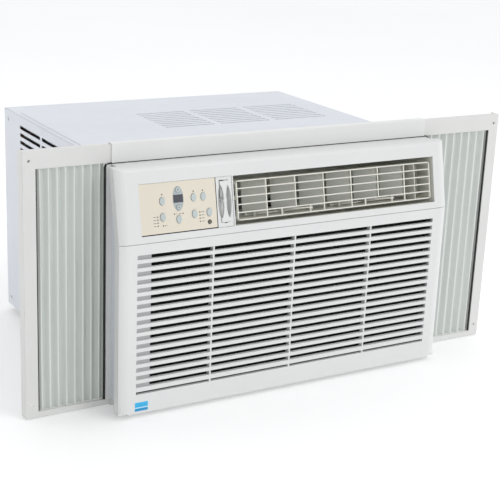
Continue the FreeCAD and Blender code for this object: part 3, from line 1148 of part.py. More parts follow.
def coil_fins(half, y0, y1, z0, z1):
    """Stack of thin fins with a hole for every tube run."""
    zs = tube_heights(z0, z1)
    ys = [y0 + (y1 - y0) * part for part in TUBE_PLACES]
    outline = Part.makePolygon([V(0, y0, z0), V(0, y1, z0), V(0, y1, z1), V(0, y0, z1), V(0, y0, z0)])
    holes = [Part.Wire(Part.makeCircle(TUBE_R, V(0, y, z), V(1, 0, 0))) for y in ys for z in zs]
    face = Part.makeFace([outline] + holes, "Part::FaceMakerBullseye")
    plate = face.extrude(V(FIN_T, 0, 0))
    fins = []
    count = int((2 * half - 2 * PLATE_EDGE) / FIN_PITCH)
    for i in range(count + 1):
        fin = plate.copy()
        fin.translate(V(-half + PLATE_EDGE + i * FIN_PITCH, 0, 0))
        fins.append(fin)
    return solids(fins)


def tube_heights(z0, z1):
    pitch = (z1 - z0) / TUBE_ROWS
    return [z0 + pitch * (k + 0.5) for k in range(TUBE_ROWS)]


def coil_tubes(half, y0, y1, z0, z1):
    """Straight runs through the fins, joined in pairs by return bends at both ends."""
    zs = tube_heights(z0, z1)
    ys = [y0 + (y1 - y0) * part for part in TUBE_PLACES]
    pieces = []
    reach = half - PLATE_EDGE / 2
    for z in zs:
        for y in ys:
            pieces.append(rod_x(TUBE_R, -reach, reach, y, z))
        for side in (-1, 1):
            bend = Part.makeTorus((ys[1] - ys[0]) / 2, TUBE_R, V(side * reach, (ys[0] + ys[1]) / 2, z),
                                  V(0, 0, 1), 0, 360, 180)
            if side == 1:
                bend.rotate(V(reach, (ys[0] + ys[1]) / 2, z), V(0, 0, 1), -90)
            else:
                bend.rotate(V(-reach, (ys[0] + ys[1]) / 2, z), V(0, 0, 1), 90)
            pieces.append(bend)
    return pieces


def loops(half, y0, y1, z0, z1):
    """Each level of the coil is one closed loop of tube."""
    pieces = coil_tubes(half, y0, y1, z0, z1)
    rows = []
    for k in range(TUBE_ROWS):
        group = pieces[4 * k:4 * k + 4]
        rows.append(group[0].fuse(group[1:]).removeSplitter())
    return solids(rows)


def coil(half, y0, y1, z0, z1):
    return solids([coil_fins(half, y0, y1, z0, z1), loops(half, y0, y1, z0, z1)])


def compressor():
    z0 = COMP_Z0
    can = rod_z(COMP_R, COMP_X, COMP_Y, z0, COMP_Z1)
    rims = [e for e in can.Edges if e.BoundBox.ZLength < EPS]
    can = can.makeFillet(COMP_ROUND, rims)
    core = rod_z(COMP_R - COMP_WALL, COMP_X, COMP_Y, z0 + COMP_WALL, COMP_Z1 - COMP_WALL)
    rims = [e for e in core.Edges if e.BoundBox.ZLength < EPS]
    core = core.makeFillet(COMP_CORE_ROUND, rims)
    stub = rod_z(TUBE_R + 2 * SHEET, COMP_X, COMP_Y, COMP_Z1 - COMP_WALL, COMP_Z1 + COMP_STUB_LEN)
    port = rod_z(TUBE_R, COMP_X, COMP_Y, COMP_Z1 - 3 * COMP_WALL, COMP_Z1 + COMP_STUB_LEN + EPS)
    tabs = []
    for k in range(3):
        tab = box(-COMP_TAB_HALF, COMP_R + COMP_TAB_REACH, -COMP_TAB_HALF, COMP_TAB_HALF, z0 - 2 * COMP_TAB_T,
                  z0 + COMP_TAB_T)
        tab = tab.cut(rod_z(COMP_BOLT_R, COMP_R + COMP_BOLT_REACH, 0, z0 - 3 * COMP_TAB_T, z0 + 2 * COMP_TAB_T))
        tab.rotate(V(0, 0, 0), V(0, 0, 1), 90 + 120 * k)
        tab.translate(V(COMP_X, COMP_Y, 0))
        tabs.append(tab)
    return can.cut(core).fuse([stub] + tabs).cut(port).removeSplitter()


def compressor_feet():
    feet = []
    for k in range(3):
        a = math.radians(90 + 120 * k)
        x = COMP_X + (COMP_R + COMP_BOLT_REACH) * math.cos(a)
        y = COMP_Y + (COMP_R + COMP_BOLT_REACH) * math.sin(a)
        top = COMP_Z0 - 2 * COMP_TAB_T
        foot = rod_z(FOOT_R, x, y, PAN_Z + SHEET, top)
        foot = foot.fuse(rod_z(FOOT_NECK_R, x, y, top, COMP_Z0 + FOOT_NECK_LEN))
        feet.append(foot)
    return solids(feet)


def pipe(points, r):
    """Round pipe along a path of straight runs with ball corners."""
    pieces = []
    for a, b in zip(points[:-1], points[1:]):
        run = b.sub(a)
        pieces.append(Part.makeCylinder(r, run.Length, a, run))
    for p in points[1:-1]:
        pieces.append(Part.makeSphere(r, p))
    return pieces[0].fuse(pieces[1:]).removeSplitter()


def refrigerant_pipes():
    discharge = [V(COMP_X, COMP_Y, COMP_Z1), V(COMP_X, COMP_Y, DISCHARGE_RISE),
                 V(COMP_X, DISCHARGE_Y, DISCHARGE_RISE), V(COMP_X, DISCHARGE_Y, DISCHARGE_Z),
                 V(DISCHARGE_X, DISCHARGE_Y, DISCHARGE_Z),
                 V(DISCHARGE_X, COND_Y0 + PIPE_REACH + EPS, DISCHARGE_Z)]
    x = COMP_X + SUCTION_DX
    y = COMP_Y + SUCTION_DY
    suction = [V(x, y, COMP_Z1 - EPS), V(x, y, SUCTION_RISE), V(PIPE_X, y, SUCTION_RISE),
               V(PIPE_X, 0, SUCTION_RISE), V(PIPE_X, 0, PIPE_Z[1]), V(PIPE_X, EVAP_Y1 - PIPE_REACH, PIPE_Z[1])]
    liquid = [V(PIPE_X, LIQUID_Y, LIQUID_Z), V(PIPE_X, LIQUID_Y, PIPE_Z[0]),
              V(PIPE_X, EVAP_Y1 - PIPE_REACH, PIPE_Z[0])]
    return solids([pipe(discharge, PIPE_R), pipe(suction, PIPE_R), pipe(liquid, LIQUID_PIPE_R)])


def filter_drier():
    body = rod_z(DRIER_R, PIPE_X, LIQUID_Y, DRIER_Z0, DRIER_Z1)
    rims = [e for e in body.Edges if e.BoundBox.ZLength < EPS]
    return body.makeFillet(DRIER_ROUND, rims)


def run_capacitor():
    can = rod_z(CAP_R, CAP_X, CAP_Y, PAN_Z + SHEET, CAP_TOP)
    lid = rod_z(CAP_LID_R, CAP_X, CAP_Y, CAP_TOP, CAP_TOP + CAP_LID_H)
    z0 = CAP_TOP + CAP_LID_H
    tags = []
    for side in (-1, 1):
        x = CAP_X + side * CAP_TAG_X
        tags.append(box(x - CAP_TAG_HALF, x + CAP_TAG_HALF, CAP_Y - CAP_TAG_T, CAP_Y, z0, z0 + CAP_TAG_H))
    return can.fuse([lid] + tags)


def screw_x(side, y, z):
    head = rod_x(SCREW_HEAD_R, HALF_W, HALF_W + SCREW_HEAD_H, y, z)
    head = head.makeFillet(SCREW_ROUND, [e for e in head.Edges if e.BoundBox.XMin > HALF_W + SCREW_ROUND])
    return head if side > 0 else mirrored(head)


def case_screws():
    screws = []
    for side in (-1, 1):
        for y in SCREW_Y:
            for z in SCREW_Z:
                screws.append(screw_x(side, y, z))
        for z in REAR_SCREW_Z:
            head = rod_y(SCREW_HEAD_R, side * (HALF_W - REAR_SCREW_INSET), BACK_Y, BACK_Y + SCREW_HEAD_H, z)
            rim = [e for e in head.Edges if e.BoundBox.YMin > BACK_Y + SCREW_ROUND]
            screws.append(head.makeFillet(SCREW_ROUND, rim))
    return solids(screws)


# ---------------------------------------------------------------- assembly
def main():
    os.makedirs("parts", exist_ok=True)
    save("base_pan", base_pan())
    save("cord_gland", cord_gland())
    left = side_panel()
    save("cabinet_left_panel", left)
    save("cabinet_right_panel", mirrored(left))
    save("cabinet_top_panel", top_panel())
    save("rear_grille", rear_grille())
    save("top_rail", top_rail())
    save("bottom_rail", bottom_rail())
    save("left_curtain_frame", curtain_frame(LEFT_OUTER))
    save("right_curtain_frame", mirrored(curtain_frame(-RIGHT_OUTER)))
    save("left_curtain_bellows", bellows(LEFT_OUTER))
    save("right_curtain_bellows", mirrored(bellows(-RIGHT_OUTER)))
    save("curtain_clip_strips", solids([clip_strip(), mirrored(clip_strip())]))
    save("bezel", bezel())
    save("intake_grille", intake_grille())
    save("energy_label", energy_label())
    save("air_filter", air_filter())
    save("control_panel", control_panel())
    save("display_bezel", display_bezel())
    save("display_window", display_window())
    save("status_lamps", solids([status_lamps(), receiver_lens()]))
    for number, spot in enumerate(KEYS, 1):
        save("key_%d" % number, key(*spot))
    save("key_up", arrow_key(*ARROWS[0]))
    save("key_down", arrow_key(*ARROWS[1]))
    save("circuit_board", circuit_board())
    save("control_box", control_box())
    save("vent_escutcheon", vent_escutcheon())
    save("vent_pull", vent_pull())
    save("vent_door", vent_door())
    save("outlet_duct", outlet_duct())
    save("louvre_frame", louvre_frame())
    for i in range(GRID_COLS - 1):
        save("vane_%d" % (i + 1), vane(i))
    save("left_vane_link", vane_link(0))
    save("right_vane_link", vane_link(3))
    save("blower_scroll", blower_scroll())
    save("blower_wheel", blower_wheel())
    save("condenser_fan", condenser_fan())
    save("motor_shaft", motor_shaft())
    save("fan_motor", fan_motor())
    save("motor_bracket", motor_bracket())
    save("partition", partition())
    save("condenser_shroud", condenser_shroud())
    save("evaporator_coil", coil(EVAP_HALF, EVAP_Y0, EVAP_Y1, EVAP_Z0, EVAP_Z1))
    save("condenser_coil", coil(COND_HALF, COND_Y0, COND_Y1, COND_Z0, COND_Z1))
    save("compressor", compressor())
    save("compressor_feet", compressor_feet())
    save("refrigerant_pipes", solids([refrigerant_pipes(), filter_drier()]))
    save("run_capacitor", run_capacitor())
    save("case_screws", case_screws())


main()
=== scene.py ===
import json
import math
import random

import bpy
from mathutils import Matrix, Vector


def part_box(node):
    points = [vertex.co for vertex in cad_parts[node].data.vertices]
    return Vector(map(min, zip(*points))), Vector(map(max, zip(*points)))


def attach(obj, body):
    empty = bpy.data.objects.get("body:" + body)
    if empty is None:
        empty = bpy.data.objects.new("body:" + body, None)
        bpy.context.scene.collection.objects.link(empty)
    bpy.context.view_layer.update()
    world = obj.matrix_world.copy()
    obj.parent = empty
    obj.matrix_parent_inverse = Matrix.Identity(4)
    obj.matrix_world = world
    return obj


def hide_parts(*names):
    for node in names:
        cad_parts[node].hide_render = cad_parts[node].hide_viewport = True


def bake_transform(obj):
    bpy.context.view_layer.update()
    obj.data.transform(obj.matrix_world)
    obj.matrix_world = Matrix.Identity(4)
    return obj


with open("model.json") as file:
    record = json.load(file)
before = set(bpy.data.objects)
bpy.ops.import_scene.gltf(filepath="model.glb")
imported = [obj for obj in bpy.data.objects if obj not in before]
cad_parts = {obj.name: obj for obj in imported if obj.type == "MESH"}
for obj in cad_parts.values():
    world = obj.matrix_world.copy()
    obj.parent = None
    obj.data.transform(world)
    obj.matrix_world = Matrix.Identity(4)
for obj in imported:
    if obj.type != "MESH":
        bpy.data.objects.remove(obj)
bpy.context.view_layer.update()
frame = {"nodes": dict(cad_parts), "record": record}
NODES = frame["nodes"]

# The leaning control face, in metres: local X, depth into the machine and height up the slope.
FACE_Y = -0.282
SEAM_Z = 0.2905
LEAN = math.radians(12.0)

# Depth of the vanes' front edges behind the face, in millimetres.
BLADE_FRONT = 14.8

# The intake panel's slots, in metres: the closed ends on the left are shallow grooves.
SLOT_ROWS = 18
SLOT_FIRST_Z = 0.043
SLOT_PITCH = 0.01328
SLOT_HALF_H = 0.0036
GROOVE_DEPTH = 0.0035
GROOVE_X = (-0.284, -0.259)

# The curtain sheets, in metres. Each sheet runs from its frame to the clip strip at CLIP_X.
PLEATS = 8
CLIP_X = 0.3113
LEFT_FRAME_X = -0.4216
RIGHT_FRAME_X = 0.4496
PLEAT_ROWS = 40
PLEAT_ROUND = 0.09           # share of a half pleat, and of its depth, that a fold's rounding takes
PLEAT_SWAY = 0.00035
CREST_HIGHLIGHT_DEPTH = 0.0016               # depth of the band behind a fold's crest that is painted lighter: a painted highlight
PLEAT_FRONT = -0.2144
PLEAT_BACK = -0.2076
PLEAT_HEM = -0.2135          # front edge of the hem at the clip strip
PLEAT_LOW = 0.0125
PLEAT_HIGH = 0.4046


def slope(x, depth, height):
    """Point of the row frame for a point of the leaning face, given in millimetres."""
    y = FACE_Y + (depth * math.cos(LEAN) + height * math.sin(LEAN)) / 1000
    z = SEAM_Z + (height * math.cos(LEAN) - depth * math.sin(LEAN)) / 1000
    return Vector((x / 1000, y, z))


# ---------------------------------------------------------------- materials
def link(tree, a, b):
    tree.links.new(a, b)


def new_material(name):
    material = bpy.data.materials.new(name)
    material.use_nodes = True
    tree = material.node_tree
    shader = tree.nodes["Principled BSDF"]
    coord = tree.nodes.new("ShaderNodeTexCoord")
    return material, tree, shader, coord.outputs["Object"]


def noise(tree, where, scale, detail=2.0, stretch=None):
    if stretch:
        mapping = tree.nodes.new("ShaderNodeMapping")
        mapping.inputs["Scale"].default_value = stretch
        link(tree, where, mapping.inputs["Vector"])
        where = mapping.outputs["Vector"]
    node = tree.nodes.new("ShaderNodeTexNoise")
    node.inputs["Scale"].default_value = scale
    node.inputs["Detail"].default_value = detail
    link(tree, where, node.inputs["Vector"])
    return node.outputs["Fac"]


def ramp(tree, fac, stops):
    node = tree.nodes.new("ShaderNodeValToRGB")
    elements = node.color_ramp.elements
    while len(elements) < len(stops):
        elements.new(0.5)
    for element, (place, colour) in zip(elements, stops):
        element.position = place
        element.color = (*colour, 1)
    link(tree, fac, node.inputs["Fac"])
    return node.outputs["Color"]


def span(tree, fac, low, high):
    node = tree.nodes.new("ShaderNodeMapRange")
    node.inputs["From Min"].default_value = 0.3
    node.inputs["From Max"].default_value = 0.7
    node.inputs["To Min"].default_value = low
    node.inputs["To Max"].default_value = high
    link(tree, fac, node.inputs["Value"])
    return node.outputs["Result"]


def bump(tree, shader, height, distance, strength=1.0, base=None):
    node = tree.nodes.new("ShaderNodeBump")
    node.inputs["Distance"].default_value = distance
    node.inputs["Strength"].default_value = strength
    link(tree, height, node.inputs["Height"])
    if base:
        link(tree, base, node.inputs["Normal"])
    link(tree, node.outputs["Normal"], shader.inputs["Normal"])
    return node.outputs["Normal"]


def shade(rgb, factor):
    return tuple(min(1.0, c * factor) for c in rgb)


def moulded(name, rgb, rough=0.42, grain=900.0, depth=0.00003, change=0.03, coat=0.0, gloss=0.5):
    """Moulded plastic or enamel: slow colour drift, a fine grain and roughness that wanders a little."""
    spread = 0.05
    material, tree, shader, where = new_material(name)
    drift = noise(tree, where, 7.0, 3.0)
    colour = ramp(tree, drift, [(0.3, shade(rgb, 1 - change)), (0.7, shade(rgb, 1 + change))])
    link(tree, colour, shader.inputs["Base Color"])
    wander = span(tree, noise(tree, where, 45.0), rough - spread, rough + spread)
    link(tree, wander, shader.inputs["Roughness"])
    shader.inputs["Specular IOR Level"].default_value = gloss
    shader.inputs["Coat Weight"].default_value = coat
    shader.inputs["Coat Roughness"].default_value = 0.2
    bump(tree, shader, noise(tree, where, grain, 1.0), depth)
    return material


def brushed(name, rgb, rough, stretch):
    """Drawn or turned metal with fine lines across the stretched axes."""
    material, tree, shader, where = new_material(name)
    lines = noise(tree, where, 25.0, 4.0, stretch)
    colour = ramp(tree, lines, [(0.3, shade(rgb, 0.85)), (0.7, shade(rgb, 1.08))])
    link(tree, colour, shader.inputs["Base Color"])
    link(tree, span(tree, lines, rough - 0.08, rough + 0.1), shader.inputs["Roughness"])
    shader.inputs["Metallic"].default_value = 1.0
    bump(tree, shader, lines, 0.00003)
    return material


def zinc(name):
    """Zinc-coated sheet with its faint crystal pattern."""
    material, tree, shader, where = new_material(name)
    cells = tree.nodes.new("ShaderNodeTexVoronoi")
    cells.inputs["Scale"].default_value = 90.0
    link(tree, where, cells.inputs["Vector"])
    flake = tree.nodes.new("ShaderNodeSeparateColor")
    link(tree, cells.outputs["Color"], flake.inputs["Color"])
    link(tree, ramp(tree, flake.outputs["Red"], [(0.0, (0.50, 0.52, 0.54)), (1.0, (0.66, 0.68, 0.70))]),
         shader.inputs["Base Color"])
    link(tree, span(tree, flake.outputs["Green"], 0.3, 0.5), shader.inputs["Roughness"])
    shader.inputs["Metallic"].default_value = 1.0
    bump(tree, shader, noise(tree, where, 200.0), 0.00004)
    return material


def stripes(tree, where, axis, pitch):
    wave = tree.nodes.new("ShaderNodeTexWave")
    wave.bands_direction = axis
    wave.inputs["Scale"].default_value = math.pi / (10 * pitch)
    wave.inputs["Distortion"].default_value = 0.0
    link(tree, where, wave.inputs["Vector"])
    return wave.outputs["Fac"]


def coil_metal(name, reach):
    """Aluminium fin pack with fine vertical lines, and copper bends outside the end plates."""
    material, tree, shader, where = new_material(name)
    axes = tree.nodes.new("ShaderNodeSeparateXYZ")
    link(tree, where, axes.inputs["Vector"])
    outside = tree.nodes.new("ShaderNodeMath")
    outside.operation = "ABSOLUTE"
    link(tree, axes.outputs["X"], outside.inputs[0])
    edge = tree.nodes.new("ShaderNodeMath")
    edge.operation = "GREATER_THAN"
    edge.inputs[1].default_value = reach
    link(tree, outside.outputs["Value"], edge.inputs[0])
    fins = stripes(tree, where, "X", 0.0017)
    fin_colour = ramp(tree, fins, [(0.2, (0.30, 0.31, 0.32)), (0.8, (0.72, 0.73, 0.74))])
    copper = ramp(tree, noise(tree, where, 60.0), [(0.3, (0.62, 0.30, 0.19)), (0.7, (0.80, 0.44, 0.30))])
    mix = tree.nodes.new("ShaderNodeMix")
    mix.data_type = "RGBA"
    link(tree, edge.outputs["Value"], mix.inputs["Factor"])
    link(tree, fin_colour, mix.inputs[6])
    link(tree, copper, mix.inputs[7])
    link(tree, mix.outputs[2], shader.inputs["Base Color"])
    shader.inputs["Metallic"].default_value = 1.0
    shader.inputs["Roughness"].default_value = 0.38
    bump(tree, shader, fins, 0.0003)
    return material


def vane_plastic(name, rgb, lever):
    """Grey moulding whose finger levers, ahead of the blades, are cream."""
    material, tree, shader, where = new_material(name)
    drift = noise(tree, where, 7.0, 3.0)
    colour = ramp(tree, drift, [(0.3, shade(rgb, 0.97)), (0.7, shade(rgb, 1.03))])
    depth = tree.nodes.new("ShaderNodeVectorMath")
    depth.operation = "DOT_PRODUCT"
    depth.inputs[1].default_value = (0, math.cos(LEAN), -math.sin(LEAN))
    link(tree, where, depth.inputs[0])
    edge = slope(0, BLADE_FRONT, 0)
    ahead = tree.nodes.new("ShaderNodeMath")
    ahead.operation = "LESS_THAN"
    ahead.inputs[1].default_value = edge.y * math.cos(LEAN) - edge.z * math.sin(LEAN)
    link(tree, depth.outputs["Value"], ahead.inputs[0])
    mix = tree.nodes.new("ShaderNodeMix")
    mix.data_type = "RGBA"
    link(tree, ahead.outputs["Value"], mix.inputs["Factor"])
    link(tree, colour, mix.inputs[6])
    mix.inputs[7].default_value = (*lever, 1)
    link(tree, mix.outputs[2], shader.inputs["Base Color"])
    link(tree, span(tree, noise(tree, where, 45.0), 0.37, 0.47), shader.inputs["Roughness"])
    bump(tree, shader, noise(tree, where, 1100.0, 1.0), 0.00003)
    return material


def woven(name, rgb):
    """Dark net: two crossing sets of threads."""
    material, tree, shader, where = new_material(name)
    across = stripes(tree, where, "X", 0.0016)
    up = stripes(tree, where, "Z", 0.0016)
    both = tree.nodes.new("ShaderNodeMath")
    both.operation = "MAXIMUM"
    link(tree, across, both.inputs[0])
    link(tree, up, both.inputs[1])
    colour = ramp(tree, both.outputs["Value"], [(0.5, shade(rgb, 0.3)), (0.9, rgb)])
    link(tree, colour, shader.inputs["Base Color"])
    shader.inputs["Roughness"].default_value = 0.7
    bump(tree, shader, both.outputs["Value"], 0.0003)
    return material


def smoked(name, rgb):
    """Glossy dark resin or smoked window."""
    material, tree, shader, where = new_material(name)
    colour = ramp(tree, noise(tree, where, 30.0), [(0.3, rgb), (0.7, shade(rgb, 1.15))])
    link(tree, colour, shader.inputs["Base Color"])
    shader.inputs["Roughness"].default_value = 0.12
    shader.inputs["Coat Weight"].default_value = 0.5
    shader.inputs["Coat Roughness"].default_value = 0.05
    bump(tree, shader, noise(tree, where, 300.0), 0.000005)
    return material


def vinyl(name, rgb, light):
    """Pleated curtain sheet: soft matt vinyl with a painted highlight along the fold crests; the troughs keep
    the darker ground colour as painted shade.
    """
    material, tree, shader, where = new_material(name)
    drift = noise(tree, where, 14.0, 3.0, (1.0, 1.0, 0.35))
    ground = ramp(tree, drift, [(0.3, rgb), (0.7, shade(rgb, 1.08))])
    axes = tree.nodes.new("ShaderNodeSeparateXYZ")
    link(tree, where, axes.inputs["Vector"])
    # Painted highlight: lighter colour towards the front of the fold crests, darker ground colour in the
    # troughs as painted shade.
    crest_highlight_mask = tree.nodes.new("ShaderNodeMapRange")
    crest_highlight_mask.inputs["From Min"].default_value = PLEAT_FRONT + CREST_HIGHLIGHT_DEPTH
    crest_highlight_mask.inputs["From Max"].default_value = PLEAT_FRONT
    link(tree, axes.outputs["Y"], crest_highlight_mask.inputs["Value"])
    mix = tree.nodes.new("ShaderNodeMix")
    mix.data_type = "RGBA"
    link(tree, crest_highlight_mask.outputs["Result"], mix.inputs["Factor"])
    link(tree, ground, mix.inputs[6])
    mix.inputs[7].default_value = (*light, 1)
    link(tree, mix.outputs[2], shader.inputs["Base Color"])
    link(tree, span(tree, noise(tree, where, 60.0), 0.42, 0.58), shader.inputs["Roughness"])
    shader.inputs["Sheen Weight"].default_value = 0.1
    bump(tree, shader, noise(tree, where, 1400.0, 1.0), 0.00004)
    return material


def label_film(name):
    """Plain blue film with a pale band."""
    material, tree, shader, where = new_material(name)
    axes = tree.nodes.new("ShaderNodeSeparateXYZ")
    link(tree, where, axes.inputs["Vector"])
    low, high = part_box("energy_label")
    tone = tree.nodes.new("ShaderNodeMapRange")
    tone.inputs["From Min"].default_value = low[2]
    tone.inputs["From Max"].default_value = high[2]
    link(tree, axes.outputs["Z"], tone.inputs["Value"])
    colour = ramp(tree, tone.outputs["Result"], [(0.0, (0.02, 0.30, 0.62)), (0.30, (0.02, 0.30, 0.62)),
                                                 (0.34, (0.45, 0.75, 0.90)), (0.44, (0.45, 0.75, 0.90)),
                                                 (0.48, (0.03, 0.42, 0.78)), (1.0, (0.05, 0.50, 0.85))])
    link(tree, colour, shader.inputs["Base Color"])
    shader.inputs["Roughness"].default_value = 0.25
    bump(tree, shader, noise(tree, where, 500.0), 0.00001)
    return material


def make_materials():
    white = (0.765, 0.77, 0.765)
    table = {
        "cabinet_paint": moulded("cabinet_paint", (0.70, 0.73, 0.78), 0.42, 700.0, 0.00005, 0.02),
        "rail_paint": moulded("rail_paint", (0.79, 0.795, 0.785), 0.40, 700.0, 0.00004, 0.02),
        "frame_plastic": moulded("frame_plastic", (0.745, 0.745, 0.73), 0.5, 1100.0, 0.00004, 0.02,
                                 gloss=0.25),
        # The bellows' second colour is the painted highlight along the fold crests.
        "bellows_vinyl": vinyl("bellows_vinyl", (0.58, 0.61, 0.58), (0.86, 0.88, 0.86)),
        "bezel_plastic": moulded("bezel_plastic", white, 0.36, 1300.0, 0.00002, 0.012, coat=0.15),
        # groove_grey is painted shade for the floors of the slots' blind grooves.
        "groove_grey": moulded("groove_grey", (0.44, 0.45, 0.45), 0.5, 1100.0, 0.00002, 0.03),
        "label_film": label_film("label_film"),
        "filter_mesh": woven("filter_mesh", (0.012, 0.013, 0.013)),
        "panel_beige": moulded("panel_beige", (0.78, 0.72, 0.61), 0.38, 1500.0, 0.00001, 0.015),
        "key_plastic": moulded("key_plastic", (0.53, 0.585, 0.585), 0.35, 1500.0, 0.00001, 0.03),
        "dish_plastic": moulded("dish_plastic", (0.42, 0.47, 0.48), 0.3, 1500.0, 0.00001, 0.03),
        "display_smoke": smoked("display_smoke", (0.05, 0.05, 0.07)),
        "lamp_resin": smoked("lamp_resin", (0.10, 0.09, 0.07)),
        "board_laminate": moulded("board_laminate", (0.03, 0.16, 0.07), 0.35, 1600.0, 0.00005, 0.2),
        "box_plastic": moulded("box_plastic", (0.62, 0.62, 0.60), 0.5, 1100.0, 0.00005, 0.03),
        "duct_plastic": moulded("duct_plastic", (0.82, 0.83, 0.77), 0.5, 1100.0, 0.00005, 0.05),
        "louvre_cream": moulded("louvre_cream", (0.78, 0.77, 0.70), 0.38, 1300.0, 0.00002, 0.015),
        "vane_grey": vane_plastic("vane_grey", (0.56, 0.57, 0.53), (0.80, 0.79, 0.71)),
        "scroll_plastic": moulded("scroll_plastic", (0.45, 0.46, 0.46), 0.5, 1100.0, 0.00005, 0.05),
        "fan_plastic": moulded("fan_plastic", (0.03, 0.03, 0.033), 0.5, 1300.0, 0.00005, 0.1),
        "shaft_steel": brushed("shaft_steel", (0.60, 0.60, 0.60), 0.25, (60.0, 1.0, 60.0)),
        "motor_steel": moulded("motor_steel", (0.10, 0.10, 0.11), 0.45, 500.0, 0.0001, 0.1),
        "zinc_sheet": zinc("zinc_sheet"),
        "coil_fins": coil_metal("coil_fins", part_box("evaporator_coil")[1][0] - 0.0125),
        "compressor_paint": moulded("compressor_paint", (0.015, 0.015, 0.016), 0.35, 300.0, 0.0001, 0.2,
                                    coat=0.3),
        # rubber_black also colours the dark strips put in gaps as painted shade.
        "rubber_black": moulded("rubber_black", (0.02, 0.02, 0.02), 0.75, 900.0, 0.00008, 0.2),
        "print_ink": moulded("print_ink", (0.10, 0.10, 0.12), 0.5, 900.0, 0.00001, 0.1),
        "copper_pipe": brushed("copper_pipe", (0.75, 0.40, 0.26), 0.3, (8.0, 8.0, 8.0)),
        "capacitor_can": brushed("capacitor_can", (0.72, 0.72, 0.73), 0.3, (60.0, 60.0, 1.0)),
        "screw_steel": brushed("screw_steel", (0.68, 0.68, 0.69), 0.25, (20.0, 20.0, 20.0)),
    }
    return table


def dress(table):
    for entry in frame["record"]["subparts"]:
        node = NODES[entry["node"]]
        node.data.materials.clear()
        node.data.materials.append(table[entry["material_slot"]])


# ---------------------------------------------------------------- stage
def camera():
    yaw, pitch, roll = (math.radians(v) for v in (-30.5, 17.3, 2.4))
    back = Vector((math.sin(yaw) * math.cos(pitch), -math.cos(yaw) * math.cos(pitch), math.sin(pitch)))
    right = (-back).cross(Vector((0, 0, 1))).normalized()
    up = right.cross(-back)
    tilted = right * math.cos(roll) + up * math.sin(roll)
    upright = up * math.cos(roll) - right * math.sin(roll)
    data = bpy.data.cameras.new("camera")
    data.lens = 86.9
    data.sensor_width = 36.0
    data.clip_end = 50.0
    eye = bpy.data.objects.new("camera", data)
    turn = Matrix((tilted, upright, back)).transposed().to_4x4()
    turn.translation = (-1.0275, -1.8811, 0.8363)
    eye.matrix_world = turn
    bpy.context.collection.objects.link(eye)
    bpy.context.scene.camera = eye


def area(name, place, target, size, power, tint=(1, 1, 1)):
    data = bpy.data.lights.new(name, "AREA")
    data.shape = "RECTANGLE"
    data.size, data.size_y = size
    data.energy = power
    data.color = tint
    lamp = bpy.data.objects.new(name, data)
    lamp.location = place
    lamp.rotation_euler = (Vector(target) - Vector(place)).to_track_quat("-Z", "Y").to_euler()
    bpy.context.collection.objects.link(lamp)


def sky(world):
    """Soft white surroundings that are brighter on the right than on the left."""
    tree = world.node_tree
    background = tree.nodes["Background"]
    coord = tree.nodes.new("ShaderNodeTexCoord")
    axes = tree.nodes.new("ShaderNodeSeparateXYZ")
    link(tree, coord.outputs["Generated"], axes.inputs["Vector"])
    level = tree.nodes.new("ShaderNodeMapRange")
    level.inputs["From Min"].default_value = -0.8
    level.inputs["From Max"].default_value = 0.3
    level.inputs["To Min"].default_value = 0.32
    level.inputs["To Max"].default_value = 1.06
    link(tree, axes.outputs["X"], level.inputs["Value"])
    link(tree, level.outputs["Result"], background.inputs["Strength"])
    background.inputs["Color"].default_value = (0.98, 0.99, 1.0, 1)


def studio():
    world = bpy.data.worlds.new("studio")
    world.use_nodes = True
    sky(world)
    bpy.context.scene.world = world
    area("key", (2.8, -4.6, 4.6), (0, -0.2, 0.2), (2.6, 2.6), 62)
    area("side", (-2.6, 1.5, 0.9), (-0.3, 0.1, 0.2), (1.4, 1.4), 16)
    area("top", (0.0, 0.4, 3.2), (0, 0.1, 0.3), (2.5, 2.5), 8)
    bpy.context.scene.view_settings.view_transform = "Standard"
    mesh = bpy.data.meshes.new("floor")
    half = 12.0
    corners = [(-half, -half, 0), (half, -half, 0), (half, half, 0), (-half, half, 0)]
    mesh.from_pydata(corners, [], [(0, 1, 2, 3)])
    floor = bpy.data.objects.new("floor", mesh)
    material, tree, shader, where = new_material("floor")
    tone = ramp(tree, noise(tree, where, 0.8), [(0.3, (0.88, 0.88, 0.88)), (0.7, (0.90, 0.90, 0.90))])
    link(tree, tone, shader.inputs["Base Color"])
    shader.inputs["Roughness"].default_value = 0.9
    shader.inputs["Specular IOR Level"].default_value = 0.1
    shader.inputs["Emission Color"].default_value = (1, 1, 1, 1)
    shader.inputs["Emission Strength"].default_value = 0.22
    mesh.materials.append(material)
    bpy.context.collection.objects.link(floor)


# ---------------------------------------------------------------- pieces
def piece(name, verts, faces, material, body, smooth=False):
    mesh = bpy.data.meshes.new(name)
    mesh.from_pydata(verts, [], faces)
    mesh.validate()
    mesh.update()
    made = bpy.data.objects.new(name, mesh)
    mesh.materials.append(material)
    for face in mesh.polygons:
        face.use_smooth = smooth
    bpy.context.collection.objects.link(made)
    if body:
        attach(made, body)
    return made


def sweep(name, path, half_u, half_v, side, material, body):
    """Strip of eight-sided section along a path; side is the section's constant direction."""
    side = Vector(side).normalized()
    cut = 0.35 * min(half_u, half_v)
    outline = [(half_u, half_v - cut), (half_u - cut, half_v), (cut - half_u, half_v),
               (-half_u, half_v - cut), (-half_u, cut - half_v), (cut - half_u, -half_v),
               (half_u - cut, -half_v), (half_u, cut - half_v)]
    count = len(outline)
    points = [Vector(p) for p in path]
    verts = []
    for i, point in enumerate(points):
        ahead = points[min(i + 1, len(points) - 1)] - points[max(i - 1, 0)]
        across = ahead.normalized().cross(side).normalized()
        verts.extend(point + across * u + side * v for u, v in outline)
    faces = []
    for i in range(len(points) - 1):
        for k in range(count):
            a = i * count + k
            b = i * count + (k + 1) % count
            faces.append((a, b, b + count, a + count))
    faces.append(tuple(range(count)))
    last = (len(points) - 1) * count
    faces.append(tuple(reversed(range(last, last + count))))
    return piece(name, verts, faces, material, body)


